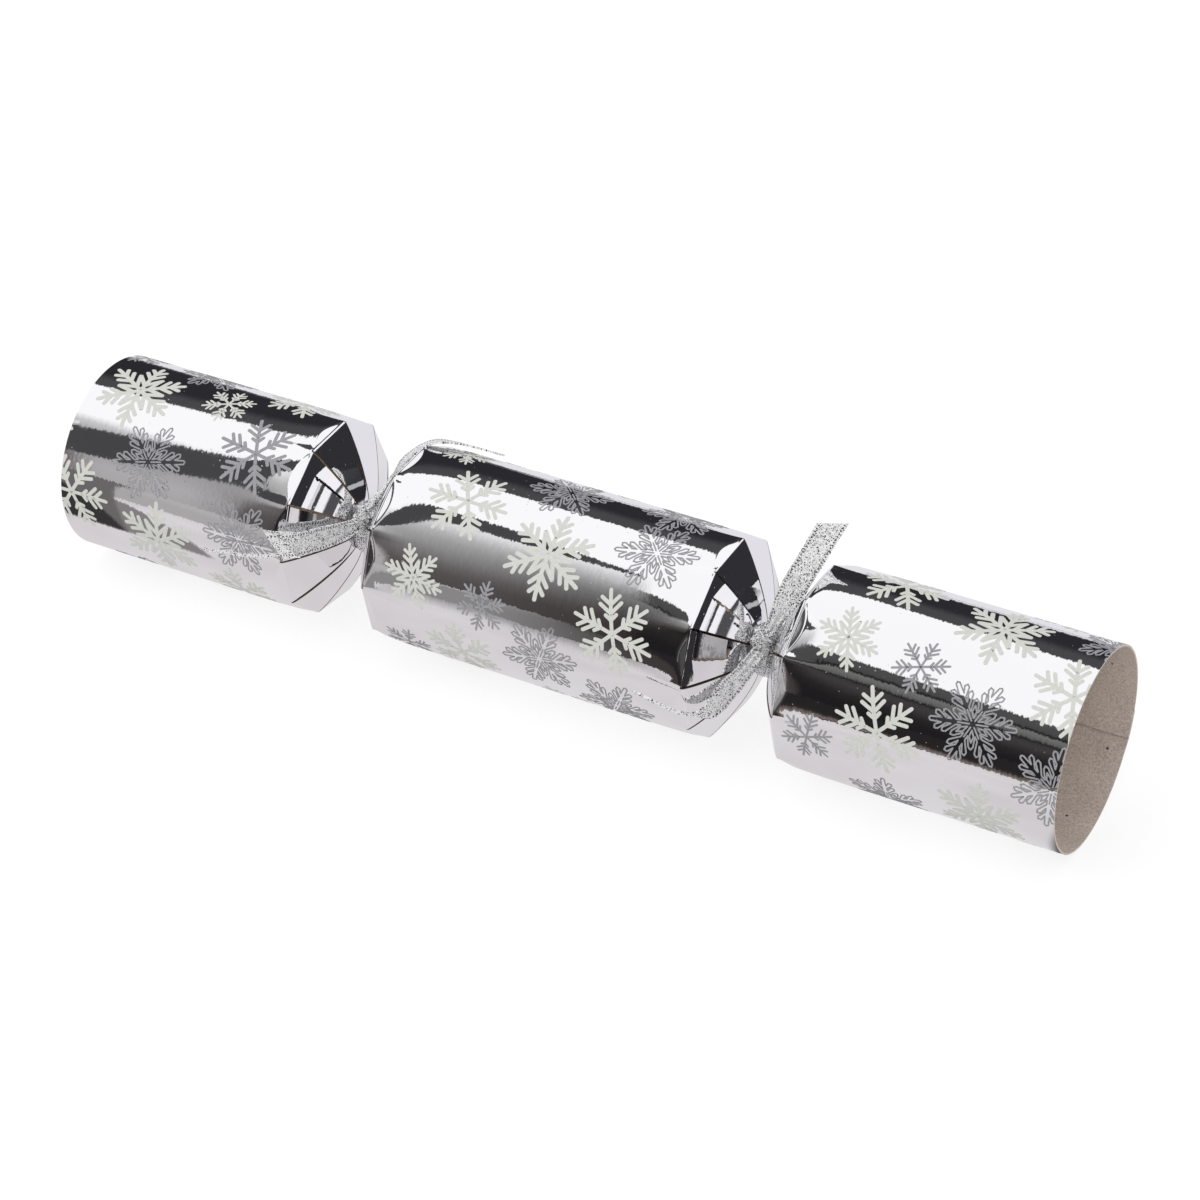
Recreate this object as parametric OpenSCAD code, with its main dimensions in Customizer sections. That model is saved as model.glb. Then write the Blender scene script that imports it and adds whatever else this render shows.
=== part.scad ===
// Christmas cracker: one rolled sheet of silver mirror board, die cut and
// tied in at two throats, with a snap, a paper crown, a motto and a gift.
// Millimetres, +Z up. The cracker lies along X with its middle over the
// origin, on the plane z = 0. Angles round the tube run from the front (-Y)
// up over the top (+Z).

/* [Tube] */
// Outside diameter of the rolled board
tube_d = 47; // [44:0.5:50]
// Thickness of the mirror board
board_t = 0.45; // [0.3:0.05:0.6]
// Length of the left end, rim to shoulder
left_len = 62; // [50:1:80]
// Length of the barrel between its shoulders
barrel_len = 82; // [74:1:100]
// Length of the right end, shoulder to rim
right_len = 66; // [50:1:80]
// Width of the glued lap where the sheet closes
lap_w = 6.4; // [4:0.2:9]

/* [Die-cut throats] */
// Number of strips between the cuts, all round the sheet
strip_count = 11; // [9:1:13]
// Distance between the two shoulders of a throat
throat_gap = 22; // [20:0.5:26]
// Angle of the slit that is nearest the front
slit_phase = 2; // [-6:1:6]
// Widest opening of a slit between two petals
slit_w = 0.9; // [0.4:0.1:1.4]
// Outside diameter of the tied neck, across its corners
neck_d = 10.9; // [10.6:0.1:13]
// Half length of the straight neck under the ribbon
neck_half = 2.4; // [2.4:0.1:3]
// Length along the tube over which the creases die out
crease_len = 18; // [12:1:20]
// How far a petal runs on before it turns in at the shoulder
shoulder_pull = 3.5; // [2.5:0.5:4.5]
// How far a petal flares where it leaves the neck
neck_pull = 2.5; // [1.5:0.5:3.5]

/* [Ribbon] */
// Width of the ribbon
ribbon_w = 6; // [4:0.5:7]
// Thickness of the ribbon
ribbon_t = 0.3; // [0.2:0.05:0.4]
// Width of the two gathered turns round the neck
loop_w = 4.4; // [3:0.2:4.6]
// Thickness of the gathered turns
loop_t = 0.7; // [0.5:0.1:1]
// Length of a knot along its tails
knot_len = 6.4; // [5:0.2:8]
// Width of a knot
knot_w = 6; // [5:0.2:7]
// Height of a knot above the turns
knot_h = 4.4; // [3:0.2:5]
// Slant of the cut at the end of each tail
tail_cut = 3.6; // [0:0.2:5]

/* [Snap] */
// Width of the two snap strips
snap_w = 8; // [6:0.2:8.2]
// Thickness of a snap strip
snap_t = 0.35; // [0.25:0.05:0.5]
// Length that the two strips share in the middle
snap_overlap = 26; // [22:1:36]
// Length of the powder patch and of the grit patch
patch_len = 8; // [5:1:9]
// Thickness of a patch
patch_t = 0.15; // [0.1:0.05:0.2]
// Length of the paper band that holds the strips together
band_len = 18; // [12:1:20]
// Thickness of the paper band
band_t = 0.15; // [0.1:0.05:0.2]
// Diameter of the glue spot at each outer end
glue_d = 6; // [4:0.5:7]
// Thickness of a glue spot
glue_t = 0.3; // [0.2:0.05:0.4]

/* [Contents] */
// Length of the rolled tissue crown
crown_len = 60; // [50:1:64]
// Outside diameter of the rolled crown
crown_d = 13; // [12:0.5:14]
// Turns of folded tissue in the roll
crown_turns = 3; // [2:1:4]
// Thickness of the folded tissue
tissue_t = 0.45; // [0.3:0.05:0.5]
// Length of the rolled motto slip
motto_len = 50; // [40:1:55]
// Outside diameter of the rolled motto slip
motto_d = 7; // [6:0.2:7.4]
// Thickness of the motto slip
motto_t = 0.2; // [0.1:0.05:0.3]
// Width of the elastic band round the crown
elastic_w = 3; // [1:0.5:5]
// Thickness of the elastic band
elastic_t = 0.8; // [0.5:0.1:1]
// Diameter of the spinning top's disc
top_d = 18; // [14:0.5:19]
// Length of the spinning top, tip to stem end
top_len = 25; // [20:1:30]
// Diameter of the spinning top's stem
stem_d = 3; // [2:0.2:4]

/* [Clearances] */
// Gap of a loose piece to the wall that it lies on
seat_gap = 0.2; // [0.1:0.05:0.4]
// Gap between snap pieces that slide past each other
run_gap = 0.1; // [0.05:0.05:0.15]
// Gap between the neck and the ribbon turns
tie_gap = 0.15; // [0.1:0.05:0.3]
// Gap between the two halves of a neck, where the sheet tears
tear_gap = 0.3; // [0.2:0.1:0.6]

/* [Hidden] */

$fn = 96;
silver = "silver";
lurex = "gainsboro";

// Tube and places along X
tube_r = tube_d / 2;
bore_r = tube_r - board_t;
total_len = left_len + throat_gap + barrel_len + throat_gap + right_len;
left_rim_x = -total_len / 2;
left_shoulder_x = left_rim_x + left_len;
left_neck_x = left_shoulder_x + throat_gap / 2;
barrel_left_x = left_shoulder_x + throat_gap;
barrel_right_x = barrel_left_x + barrel_len;
right_neck_x = barrel_right_x + throat_gap / 2;
right_shoulder_x = barrel_right_x + throat_gap;
right_rim_x = total_len / 2;
middle_x = (left_neck_x + right_neck_x) / 2;

// The sheet is as wide as the tube is round, plus the lap. Its strips are
// equal, so the last strip is partly hidden by the lap.
strip_w = (PI * tube_d + lap_w) / strip_count;
strip_a = strip_w / tube_r * 180 / PI;
lap_a = lap_w / tube_r * 180 / PI;
first_slit = -floor(strip_count / 2);
slits = [for (k = [0:strip_count - 1]) slit_phase + (first_slit + k) * strip_a];
seam_a = slits[0];

function sector_end(i) = i < strip_count - 1 ? slits[i + 1] : slits[0] + 360;
function sector_mid(i) = (slits[i] + sector_end(i)) / 2;
function sector_half(i) = (sector_end(i) - slits[i]) / 2;
function total(v, i = 0) = i < len(v) ? v[i] + total(v, i + 1) : 0;

// Corner radius of a shoulder, whose flats are together as long as the round
shoulder_r = PI * tube_r / total([for (i = [0:strip_count - 1]) sin(sector_half(i))]);
neck_r = neck_d / 2;

// Mesh counts of a throat
flat_steps = 4;
crease_rows = [0.3, 0.55, 0.8, 1];
petal_rows = [0.07, 0.15, 0.25, 0.37, 0.51, 0.66, 0.82, 1];
joint_len = 1;
ring_n = strip_count * flat_steps;

function polar(x, r, a) = [x, -r * cos(a), r * sin(a)];
function lerp(a, b, f) = a + (b - a) * f;
function ease(f) = f * f * (3 - 2 * f);
function unit(v) = v / norm(v);
function bezier(p, f) =
  pow(1 - f, 3) * p[0] + 3 * f * pow(1 - f, 2) * p[1] + 3 * f * f * (1 - f) * p[2] + pow(f, 3) * p[3];
function bezier_slope(p, f) =
  unit(pow(1 - f, 2) * (p[1] - p[0]) + 2 * f * (1 - f) * (p[2] - p[1]) + f * f * (p[3] - p[2]));

// Profile of a petal's corner line: distance from the neck's middle, radius
shoulder_u = throat_gap / 2;
petal_profile = [
  [shoulder_u, shoulder_r], [shoulder_u - shoulder_pull, shoulder_r],
  [neck_half + neck_pull, neck_r], [neck_half, neck_r]
];
function petal_face(f, depth) =
  let (p = bezier(petal_profile, f), s = bezier_slope(petal_profile, f))
  [p[0] - depth * s[1], p[1] + depth * s[0]];
function slit_open(f) = slit_w * pow(sin(180 * min(1, pow(f, 0.6))), 0.8) + slit_w / 4 * f;

// One row of the creased wall, as the blend of the round and the flats
function wall_r(i, step, blend) =
  let (half = sector_half(i), off = half * (2 * step / flat_steps - 1))
  let (flat = shoulder_r * cos(half) / cos(off))
  lerp(tube_r, flat, blend);
function wall_ring(u, blend, out, depth) = [
  for (i = [0:strip_count - 1], step = [0:flat_steps - 1])
    polar(u, wall_r(i, step, blend) - out - depth, slits[i] + 2 * sector_half(i) * step / flat_steps)
];
function wall_row(u, blend, out, depth) =
  concat(wall_ring(u, blend, out, 0), wall_ring(u, blend, out, depth));

// The four corners of one petal's section: outside low, high, inside low, high
function petal_corner(i, f, depth, side) =
  let (q = petal_face(f, depth), h = sector_half(i), m = sector_mid(i))
  let (half = q[1] * sin(h) - slit_open(f) / 2, mid = q[1] * cos(h))
  let (y = -mid * cos(m) + side * half * sin(m), z = mid * sin(m) + side * half * cos(m))
  [q[0], y, z];
function petal_section(i, f) = [
  petal_corner(i, f, 0, -1), petal_corner(i, f, 0, 1),
  petal_corner(i, f, board_t, -1), petal_corner(i, f, board_t, 1)
];
function petal_end(i) = [for (p = petal_section(i, 1)) [tear_gap / 2, p[1], p[2]]];

function quad(a, b, c, d) = [[a, b, c], [a, c, d]];
function flip(faces) = [for (f = faces) [f[2], f[1], f[0]]];

// Board of one throat, tube on the +X side and the neck's middle at x = 0
module throat() {
  start_u = shoulder_u + crease_len;
  wall_rows = concat(
    wall_row(start_u + joint_len, 0, board_t / 4, board_t / 3),
    wall_row(start_u - joint_len, 0, 0, board_t),
    [for (f = crease_rows) for (p = wall_row(start_u - crease_len * f, ease(f), 0, board_t)) p]
  );
  petals = [
    for (i = [0:strip_count - 1]) for (f = petal_rows) for (p = petal_section(i, f)) p
  ];
  ends = [for (i = [0:strip_count - 1]) for (p = petal_end(i)) p];
  rows = 2 + len(crease_rows);
  steps = len(petal_rows);
  petal_at = rows * 2 * ring_n;
  end_at = petal_at + strip_count * steps * 4;
  function wall_id(row, col, inner) = (row * 2 + inner) * ring_n + col % ring_n;
  function petal_id(i, k, corner) =
    k < steps ? petal_at + (i * steps + k) * 4 + corner : end_at + i * 4 + corner;
  function wall_quad(row, c, inner) =
    quad(
      wall_id(row, c, inner), wall_id(row, c + 1, inner),
      wall_id(row + 1, c + 1, inner), wall_id(row + 1, c, inner)
    );
  // Outside faces from the shoulder's flat to the two corners of a petal
  function fan(i, inner) =
    let (c = i * flat_steps, r = rows - 1)
    let (lo = petal_id(i, 0, inner * 2), hi = petal_id(i, 0, inner * 2 + 1))
    let (p = [for (s = [0:flat_steps]) wall_id(r, c + s, inner)], m = flat_steps / 2)
    concat(
      [for (s = [0:m - 1]) [p[s], p[s + 1], lo]], [[p[m], hi, lo]],
      [for (s = [m:flat_steps - 1]) [p[s], p[s + 1], hi]]
    );
  wall_faces = [
    for (row = [0:rows - 2], c = [0:ring_n - 1])
      each concat(
        wall_quad(row, c, 0), flip(wall_quad(row, c, 1))
      )
  ];
  rim_faces = [
    for (c = [0:ring_n - 1])
      each quad(wall_id(0, c + 1, 0), wall_id(0, c, 0), wall_id(0, c, 1), wall_id(0, c + 1, 1))
  ];
  fan_faces = [
    for (i = [0:strip_count - 1])
      let (r = rows - 1, lo = i * flat_steps, hi = lo + flat_steps)
      each concat(
        fan(i, 0), flip(fan(i, 1)),
        quad(wall_id(r, lo, 0), petal_id(i, 0, 0), petal_id(i, 0, 2), wall_id(r, lo, 1)),
        quad(petal_id(i, 0, 1), wall_id(r, hi, 0), wall_id(r, hi, 1), petal_id(i, 0, 3))
      )
  ];
  petal_faces = [
    for (i = [0:strip_count - 1], k = [0:steps - 1])
      let (a = [for (n = [0:3]) petal_id(i, k, n)], b = [for (n = [0:3]) petal_id(i, k + 1, n)])
      each concat(
        quad(a[0], a[1], b[1], b[0]), quad(a[2], b[2], b[3], a[3]),
        quad(a[0], b[0], b[2], a[2]), quad(b[1], a[1], a[3], b[3])
      )
  ];
  end_faces = [
    for (i = [0:strip_count - 1])
      each quad(petal_id(i, steps, 0), petal_id(i, steps, 1), petal_id(i, steps, 3), petal_id(i, steps, 2))
  ];
  polyhedron(
    points = concat(wall_rows, petals, ends),
    faces = flip(concat(wall_faces, rim_faces, fan_faces, petal_faces, end_faces)),
    convexity = 12
  );
}

module throat_at(x, tube_side) {
  translate([x, 0, tube_r]) mirror([tube_side < 0 ? 1 : 0, 0, 0]) throat();
}

// Round wall between two places along X
module round_wall(x0, x1) {
  translate([x0, 0, tube_r]) rotate([0, 90, 0]) difference() {
    cylinder(r = tube_r, h = x1 - x0);
    translate([0, 0, -1]) cylinder(r = bore_r, h = x1 - x0 + 2);
  }
}

// The sheet's outer edge, lying over its inner edge and coming down past it
arc_n = 6;
ramp_a = 7;

module lap_band(x0, x1) {
  base_r = tube_r - board_t / 2;
  function spot(r, a) = [-r * sin(a), -r * cos(a)];
  translate([x0, 0, tube_r]) rotate([0, 90, 0]) linear_extrude(x1 - x0)
    polygon(concat(
      [for (n = [0:arc_n]) spot(tube_r + board_t, seam_a + lap_a * n / arc_n)],
      [spot(tube_r, seam_a + lap_a + ramp_a)],
      [for (n = [arc_n:-1:0]) spot(base_r, seam_a + (lap_a + ramp_a) * n / arc_n)]
    ));
}

module end_card(rim_x, neck_x) {
  side = sign(rim_x);
  wall_x = neck_x + side * (shoulder_u + crease_len);
  color(silver) union() {
    round_wall(min(rim_x, wall_x), max(rim_x, wall_x));
    lap_band(min(rim_x, wall_x), max(rim_x, wall_x));
    throat_at(neck_x, side);
  }
}

module left_end_card() end_card(left_rim_x, left_neck_x);

module right_end_card() end_card(right_rim_x, right_neck_x);

module barrel_card() {
  x0 = barrel_left_x + crease_len;
  x1 = barrel_right_x - crease_len;
  color(silver) union() {
    round_wall(x0, x1);
    lap_band(x0, x1);
    throat_at(left_neck_x, 1);
    throat_at(right_neck_x, -1);
  }
}

// Ribbon: two gathered turns round the neck
loop_in_r = neck_r + tie_gap;
loop_out_r = loop_in_r + loop_t;
// Shares of the thickness lost at the edges and between the two turns
loop_edge = 0.45;
loop_dip = 0.35;
// Shares of the half width between which a turn stands at full height
loop_high = 0.72;
loop_low = 0.28;

module ribbon_loop(x) {
  half = loop_w / 2;
  edge_r = loop_out_r - loop_t * loop_edge;
  dip_r = loop_out_r - loop_t * loop_dip;
  high = half * loop_high;
  low = half * loop_low;
  section = [
    [loop_in_r, -half], [edge_r, -half], [loop_out_r, -high], [loop_out_r, -low], [dip_r, 0],
    [loop_out_r, low], [loop_out_r, high], [edge_r, half], [loop_in_r, half]
  ];
  color(lurex) translate([x, 0, tube_r]) rotate([0, 90, 0]) rotate_extrude() polygon(section);
}

// A knot is a pulled wrap, drawn in at both ends, with the folds of its turns
knot_a = 52;
knot_r = loop_out_r + tie_gap + knot_h / 2;
left_knot_shift = 0.5;
left_tail_dir = unit([0.5, 0.7, 0.3]);
right_tail_dir = unit([0.35, 0.55, 0.75]);
knot_ends = [-1, -0.85, -0.5, 0, 0.5, 0.85, 1];
knot_girths = [0.5, 0.84, 0.94, 1, 0.94, 0.84, 0.5];
knot_round = 20;
knot_folds = 5;
knot_fold_depth = 0.05;

module ribbon_knot(x, along) {
  up = polar(0, 1, knot_a);
  axis = unit(along - up * (along * up));
  side = cross(up, axis);
  centre = [x, 0, tube_r] + polar(0, knot_r, knot_a);
  last = len(knot_ends) - 1;
  function girth(j, t) =
    knot_girths[j] * (1 - knot_fold_depth * (1 + cos(knot_folds * t + 90 * knot_ends[j])) / 2);
  points = [
    for (j = [0:last], n = [0:knot_round - 1])
      let (t = 360 * n / knot_round, g = girth(j, t))
      centre + axis * knot_ends[j] * knot_len / 2
        + side * g * knot_w / 2 * cos(t) + up * g * knot_h / 2 * sin(t)
  ];
  body = [
    for (j = [0:last - 1], n = [0:knot_round - 1])
      let (m = (n + 1) % knot_round, a = j * knot_round, b = a + knot_round)
      each quad(a + n, b + n, b + m, a + m)
  ];
  low = [[for (n = [0:knot_round - 1]) n]];
  high = [[for (n = [knot_round - 1:-1:0]) last * knot_round + n]];
  color(lurex) polyhedron(points = points, faces = concat(body, low, high), convexity = 4);
}

// A ribbon tail: a flat strip swept along its route, one ring a point, with
// the direction of its width at each point and a slanting cut at its tip
module ribbon_tail(route, across) {
  last = len(route) - 1;
  function heading(n) = unit(route[min(n + 1, last)] - route[max(n - 1, 0)]);
  rings = [
    for (n = [0:last])
      let (t = heading(n), w = unit(across[n] - t * (across[n] * t)), up = cross(t, w))
      let (slant = n == last ? t * tail_cut / 2 : t * 0)
      for (c = [[-1, -1], [1, -1], [1, 1], [-1, 1]])
        route[n] + w * c[0] * ribbon_w / 2 + up * c[1] * ribbon_t / 2 + slant * c[0]
  ];
  sides = [
    for (n = [0:last - 1], c = [0:3])
      let (d = (c + 1) % 4)
      each quad(n * 4 + c, (n + 1) * 4 + c, (n + 1) * 4 + d, n * 4 + d)
  ];
  caps = concat(quad(0, 1, 2, 3), quad(last * 4 + 3, last * 4 + 2, last * 4 + 1, last * 4));
  color(lurex) polyhedron(points = rings, faces = concat(sides, caps), convexity = 6);
}

// Routes of the four tails from inside their knots, and the directions of
// their widths
left_front_route = [
  [-54, -7, 29.5], [-55, -9, 29.5], [-56.5, -11.5, 29.5], [-58, -14, 29], [-59.5, -18, 29.5],
  [-61, -22, 30], [-62.5, -24.5, 30.5], [-64.5, -25.5, 30.5], [-66, -26, 31], [-67, -27, 29.2],
  [-69, -27, 28], [-72.5, -27, 27], [-76.5, -27, 25.5], [-80.5, -27, 24.5], [-83.5, -27, 24]
];
left_front_across = [
  [0.2, 0.3, 1], [0.1, 0.3, 1], [0.1, 0.3, 1], [0.1, 0.3, 1], [0, 0.2, 1],
  [0, 0.1, 1], [-0.1, 0.1, 1], [-0.2, 0.1, 1], [-0.3, 0.1, 0.9], [-0.2, -0.5, 0.8],
  [0, -0.8, 0.6], [0, -0.8, 0.6], [0, -0.8, 0.6], [0, -0.8, 0.6], [0, -0.8, 0.6]
];
left_back_route = [
  [-53.5, -4.5, 31.5], [-52.5, -2.5, 33.5], [-51.5, -0.5, 36], [-50.5, 1.5, 39], [-49, 3.5, 42.5],
  [-46.5, 6, 45.5], [-43, 8.5, 47.3], [-39, 11.5, 46.5], [-35.5, 14, 45], [-32, 16.5, 43]
];
left_back_across = [
  [0.8, -0.6, 0], [0.7, -0.7, 0], [0.5, -0.8, 0], [0.4, -0.9, 0], [0.4, -0.9, 0],
  [0.3, -0.9, 0.2], [0.3, -0.9, 0.4], [0.3, -0.9, 0.5], [0.3, -0.8, 0.6], [0.3, -0.8, 0.6]
];
right_front_route = [
  [50, -7.5, 29], [49.5, -9.5, 27.5], [48.5, -11, 25], [46.5, -12.5, 22], [45.5, -14, 20],
  [45, -16, 19], [44, -18.5, 16.5], [43, -20.5, 16.5], [41.5, -23.5, 17.5], [39.5, -25.5, 19.5],
  [37, -26.5, 20.5], [33, -27, 21.5], [29.5, -27, 22]
];
right_front_across = [
  [0.8, 0.2, -0.5], [0.6, 0.4, -0.7], [0.4, 0.5, -0.8], [0.4, 0.5, -0.8], [0.4, 0.5, -0.8],
  [0.4, 0.5, -0.8], [0.4, 0.4, -0.8], [0.2, 0.6, -0.8], [0, 0.8, -0.6], [0, 0.8, -0.6],
  [0, 0.8, -0.6], [0, 0.8, -0.6], [0, 0.8, -0.6]
];
right_upper_route = [
  [50, -7, 22.5], [50, -7, 25.5], [50, -6.5, 28.5], [50.5, -5, 31.5], [51.5, -3.5, 34.5], [52.5, -2, 37.5],
  [54, 0, 41], [55, 2, 44.5], [56.5, 4.5, 48], [57.5, 6.5, 51.5], [59, 9, 55]
];
right_upper_across = [
  [1, 0, 0], [1, 0, 0], [1, 0, 0], [1, 0.2, -0.1], [0.9, 0.2, -0.2], [0.9, 0.2, -0.3],
  [0.9, 0.2, -0.4], [0.9, 0.2, -0.4], [0.9, 0.2, -0.4], [0.9, 0.2, -0.4], [0.9, 0.2, -0.4]
];

module left_ribbon_loop() ribbon_loop(left_neck_x);

module right_ribbon_loop() ribbon_loop(right_neck_x);

module left_ribbon_knot() ribbon_knot(left_neck_x + left_knot_shift, left_tail_dir);

module right_ribbon_knot() ribbon_knot(right_neck_x, right_tail_dir);

module left_front_tail() ribbon_tail(left_front_route, left_front_across);

module left_back_tail() ribbon_tail(left_back_route, left_back_across);

module right_front_tail() ribbon_tail(right_front_route, right_front_across);

module right_upper_tail() ribbon_tail(right_upper_route, right_upper_across);

// Snap: two strips that lie flat to the axis and turn down one petal of
// their own end to a glue spot on its wall
snap_sector = floor(strip_count / 2) - 3;
snap_turn = sector_mid(snap_sector) + 90;
strip_apart = 2 * patch_t + run_gap;
left_strip_z = -(strip_apart + snap_t) / 2;
right_strip_z = -left_strip_z;
flat_in_r = shoulder_r * cos(sector_half(snap_sector)) - board_t;
glue_floor = flat_in_r - seat_gap;
strip_floor = glue_floor - glue_t - snap_t / 2;
glue_u = shoulder_u + glue_d;
strip_end_u = glue_u + glue_d;
// Bend of a strip: pull at the neck, pull before the wall, run on the wall, steps
neck_bend = 2.5;
wall_bend = 4;
bend_run = 1;
bend_n = 12;

// Margin of a patch to the tip and to the sides of its strip
patch_margin = 1;

// Turns a piece about the axis so that its underside faces the glued petal
module snap_place() {
  translate([0, 0, tube_r]) rotate([-snap_turn, 0, 0]) children();
}

// Middle line of a strip from its inner tip to its glued end, seen from the side
function strip_line(tip_u, z) =
  let (low = -strip_floor, end_u = shoulder_u + bend_run)
  let (turn = [[neck_half, z], [neck_half + neck_bend, z], [shoulder_u - wall_bend, low], [end_u, low]])
  concat([[tip_u, z]], [for (n = [0:bend_n]) bezier(turn, n / bend_n)], [[strip_end_u, low]]);
function line_side(line, side) = [
  for (n = [0:len(line) - 1])
    let (d = unit(line[min(n + 1, len(line) - 1)] - line[max(n - 1, 0)]))
    line[n] + [-d[1], d[0]] * side * snap_t / 2
];

module snap_strip(neck_x, side, z) {
  tip_u = side * (middle_x - side * snap_overlap / 2 - neck_x);
  line = strip_line(tip_u, z);
  outline = concat(line_side(line, 1), [for (n = [len(line) - 1:-1:0]) line_side(line, -1)[n]]);
  color("tan") snap_place() translate([neck_x, 0, 0]) mirror([side < 0 ? 1 : 0, 0, 0])
    rotate([90, 0, 0]) linear_extrude(snap_w, center = true) polygon(outline);
}

module left_snap_strip() snap_strip(left_neck_x, -1, left_strip_z);

module right_snap_strip() snap_strip(right_neck_x, 1, right_strip_z);

module snap_patch(tip_x, side, z) {
  margin = patch_margin;
  snap_place() translate([tip_x - side * (margin + patch_len / 2), 0, z])
    cube([patch_len, snap_w - 2 * margin, patch_t], center = true);
}

module snap_powder_patch() color("dimgray")
  snap_patch(middle_x + snap_overlap / 2, 1, left_strip_z + (snap_t + patch_t) / 2);

module snap_grit_patch() color("gray")
  snap_patch(middle_x - snap_overlap / 2, -1, right_strip_z - (snap_t + patch_t) / 2);

// The band is glued to the left strip, and the right strip slides out of it
module snap_paper_band() {
  in_w = snap_w + 2 * run_gap;
  in_h = strip_apart + 2 * snap_t + 2 * run_gap;
  color("white") snap_place() translate([middle_x, 0, 0]) rotate([90, 0, 90])
    linear_extrude(band_len, center = true) difference() {
      square([in_w + 2 * band_t, in_h + 2 * band_t], center = true);
      square([in_w, in_h], center = true);
    }
}

module glue_spot(neck_x, side) {
  color("ivory") snap_place() translate([neck_x + side * glue_u, 0, -glue_floor])
    cylinder(d = glue_d, h = glue_t);
}

module left_glue_spot() glue_spot(left_neck_x, -1);

module right_glue_spot() glue_spot(right_neck_x, 1);

// Contents: the crown is rolled round the motto and lies beside the gift
crown_a = -130;
gift_a = -48;
round_half = barrel_len / 2 - crease_len;
end_blend = ease(min(1, max(0, (crown_len / 2 - round_half) / crease_len)));
crown_wall_r = bore_r - end_blend * (tube_r - shoulder_r * cos(strip_a / 2));
crown_off = crown_wall_r - seat_gap - elastic_t - crown_d / 2;
gift_off = bore_r - seat_gap - top_d / 2;
crown_centre = [middle_x, 0, tube_r] + polar(0, crown_off, crown_a);
gift_centre = [middle_x, 0, tube_r] + polar(0, gift_off, gift_a);
core_r = motto_d / 2 + seat_gap;
turn_step = (crown_d / 2 - tissue_t - core_r) / crown_turns;
turn_n = 30;
motto_turns = 1.5;

// A spiral sheet that starts at radius r0 and widens by one step a turn
module spiral_sheet(r0, step, turns, sheet, length) {
  last = turns * turn_n;
  function spot(r, n) = r * [cos(360 * n / turn_n), sin(360 * n / turn_n)];
  function grow(n) = r0 + step * n / turn_n;
  rotate([0, 90, 0]) linear_extrude(length, center = true)
    polygon(concat(
      [for (n = [0:last]) spot(grow(n), n)],
      [for (n = [last:-1:0]) spot(grow(n) + sheet, n)]
    ));
}

module crown_roll() {
  color("crimson") translate(crown_centre)
    spiral_sheet(core_r, turn_step, crown_turns, tissue_t, crown_len);
}

module crown_elastic() {
  color("burlywood") translate(crown_centre) rotate([0, 90, 0]) difference() {
    cylinder(r = crown_d / 2 + elastic_t, h = elastic_w, center = true);
    cylinder(r = crown_d / 2 + run_gap, h = elastic_w + 2, center = true);
  }
}

module motto_slip() {
  step = 2 * motto_t;
  color("white") translate(crown_centre)
    spiral_sheet(motto_d / 2 - motto_t - step * motto_turns, step, motto_turns, motto_t, motto_len);
}

// Gift: a spinning top, stem, disc with rounded rim, and pointed foot. The
// collar joins the disc to the stem, and both ends of the top are blunted.
disc_r = top_d / 2;
disc_h = top_d / 4;
foot_h = top_len * 0.3;
stem_r = stem_d / 2;
foot_bulge_r = disc_r * 0.55;
foot_bulge_h = foot_h * 0.75;
foot_tip_r = stem_r / 2;
collar_r = stem_r * 1.6;
collar_h = 1.2;
collar_end_h = 3;
blunt = 0.6;
top_balance = top_len * 0.4;

module spinning_top() {
  rim_n = 6;
  rim_r = disc_h / 2;
  deck_h = foot_h + disc_h;
  function rim(n) =
    [disc_r - rim_r + rim_r * sin(180 * n / rim_n), foot_h + rim_r * (1 - cos(180 * n / rim_n))];
  foot = [[0, 0], [foot_tip_r, blunt], [foot_bulge_r, foot_bulge_h], [disc_r - rim_r, foot_h]];
  stem = [
    [collar_r, deck_h + collar_h], [stem_r, deck_h + collar_end_h], [stem_r, top_len - blunt],
    [stem_r - blunt, top_len], [0, top_len]
  ];
  color("royalblue") translate(gift_centre - [top_balance, 0, 0]) rotate([0, 90, 0])
    rotate_extrude() polygon(concat(foot, [for (n = [0:rim_n]) rim(n)], stem));
}

barrel_card();
left_end_card();
right_end_card();
left_ribbon_loop();
left_ribbon_knot();
left_front_tail();
left_back_tail();
right_ribbon_loop();
right_ribbon_knot();
right_front_tail();
right_upper_tail();
left_snap_strip();
right_snap_strip();
snap_powder_patch();
snap_grit_patch();
snap_paper_band();
left_glue_spot();
right_glue_spot();
crown_roll();
crown_elastic();
motto_slip();
spinning_top();
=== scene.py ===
"""Silver Christmas cracker: die-cut mirror board, glitter ribbon, printed flakes.

Every mesh is made in metres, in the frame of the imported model, with the
cracker along X on the plane z = 0. Angles round the tube run from the front
(-Y) up over the top (+Z).
"""
import logging
import math
import random
from dataclasses import dataclass, field
from enum import Enum
from typing import Sequence

import bmesh
import bpy
from mathutils import Matrix, Vector


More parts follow.
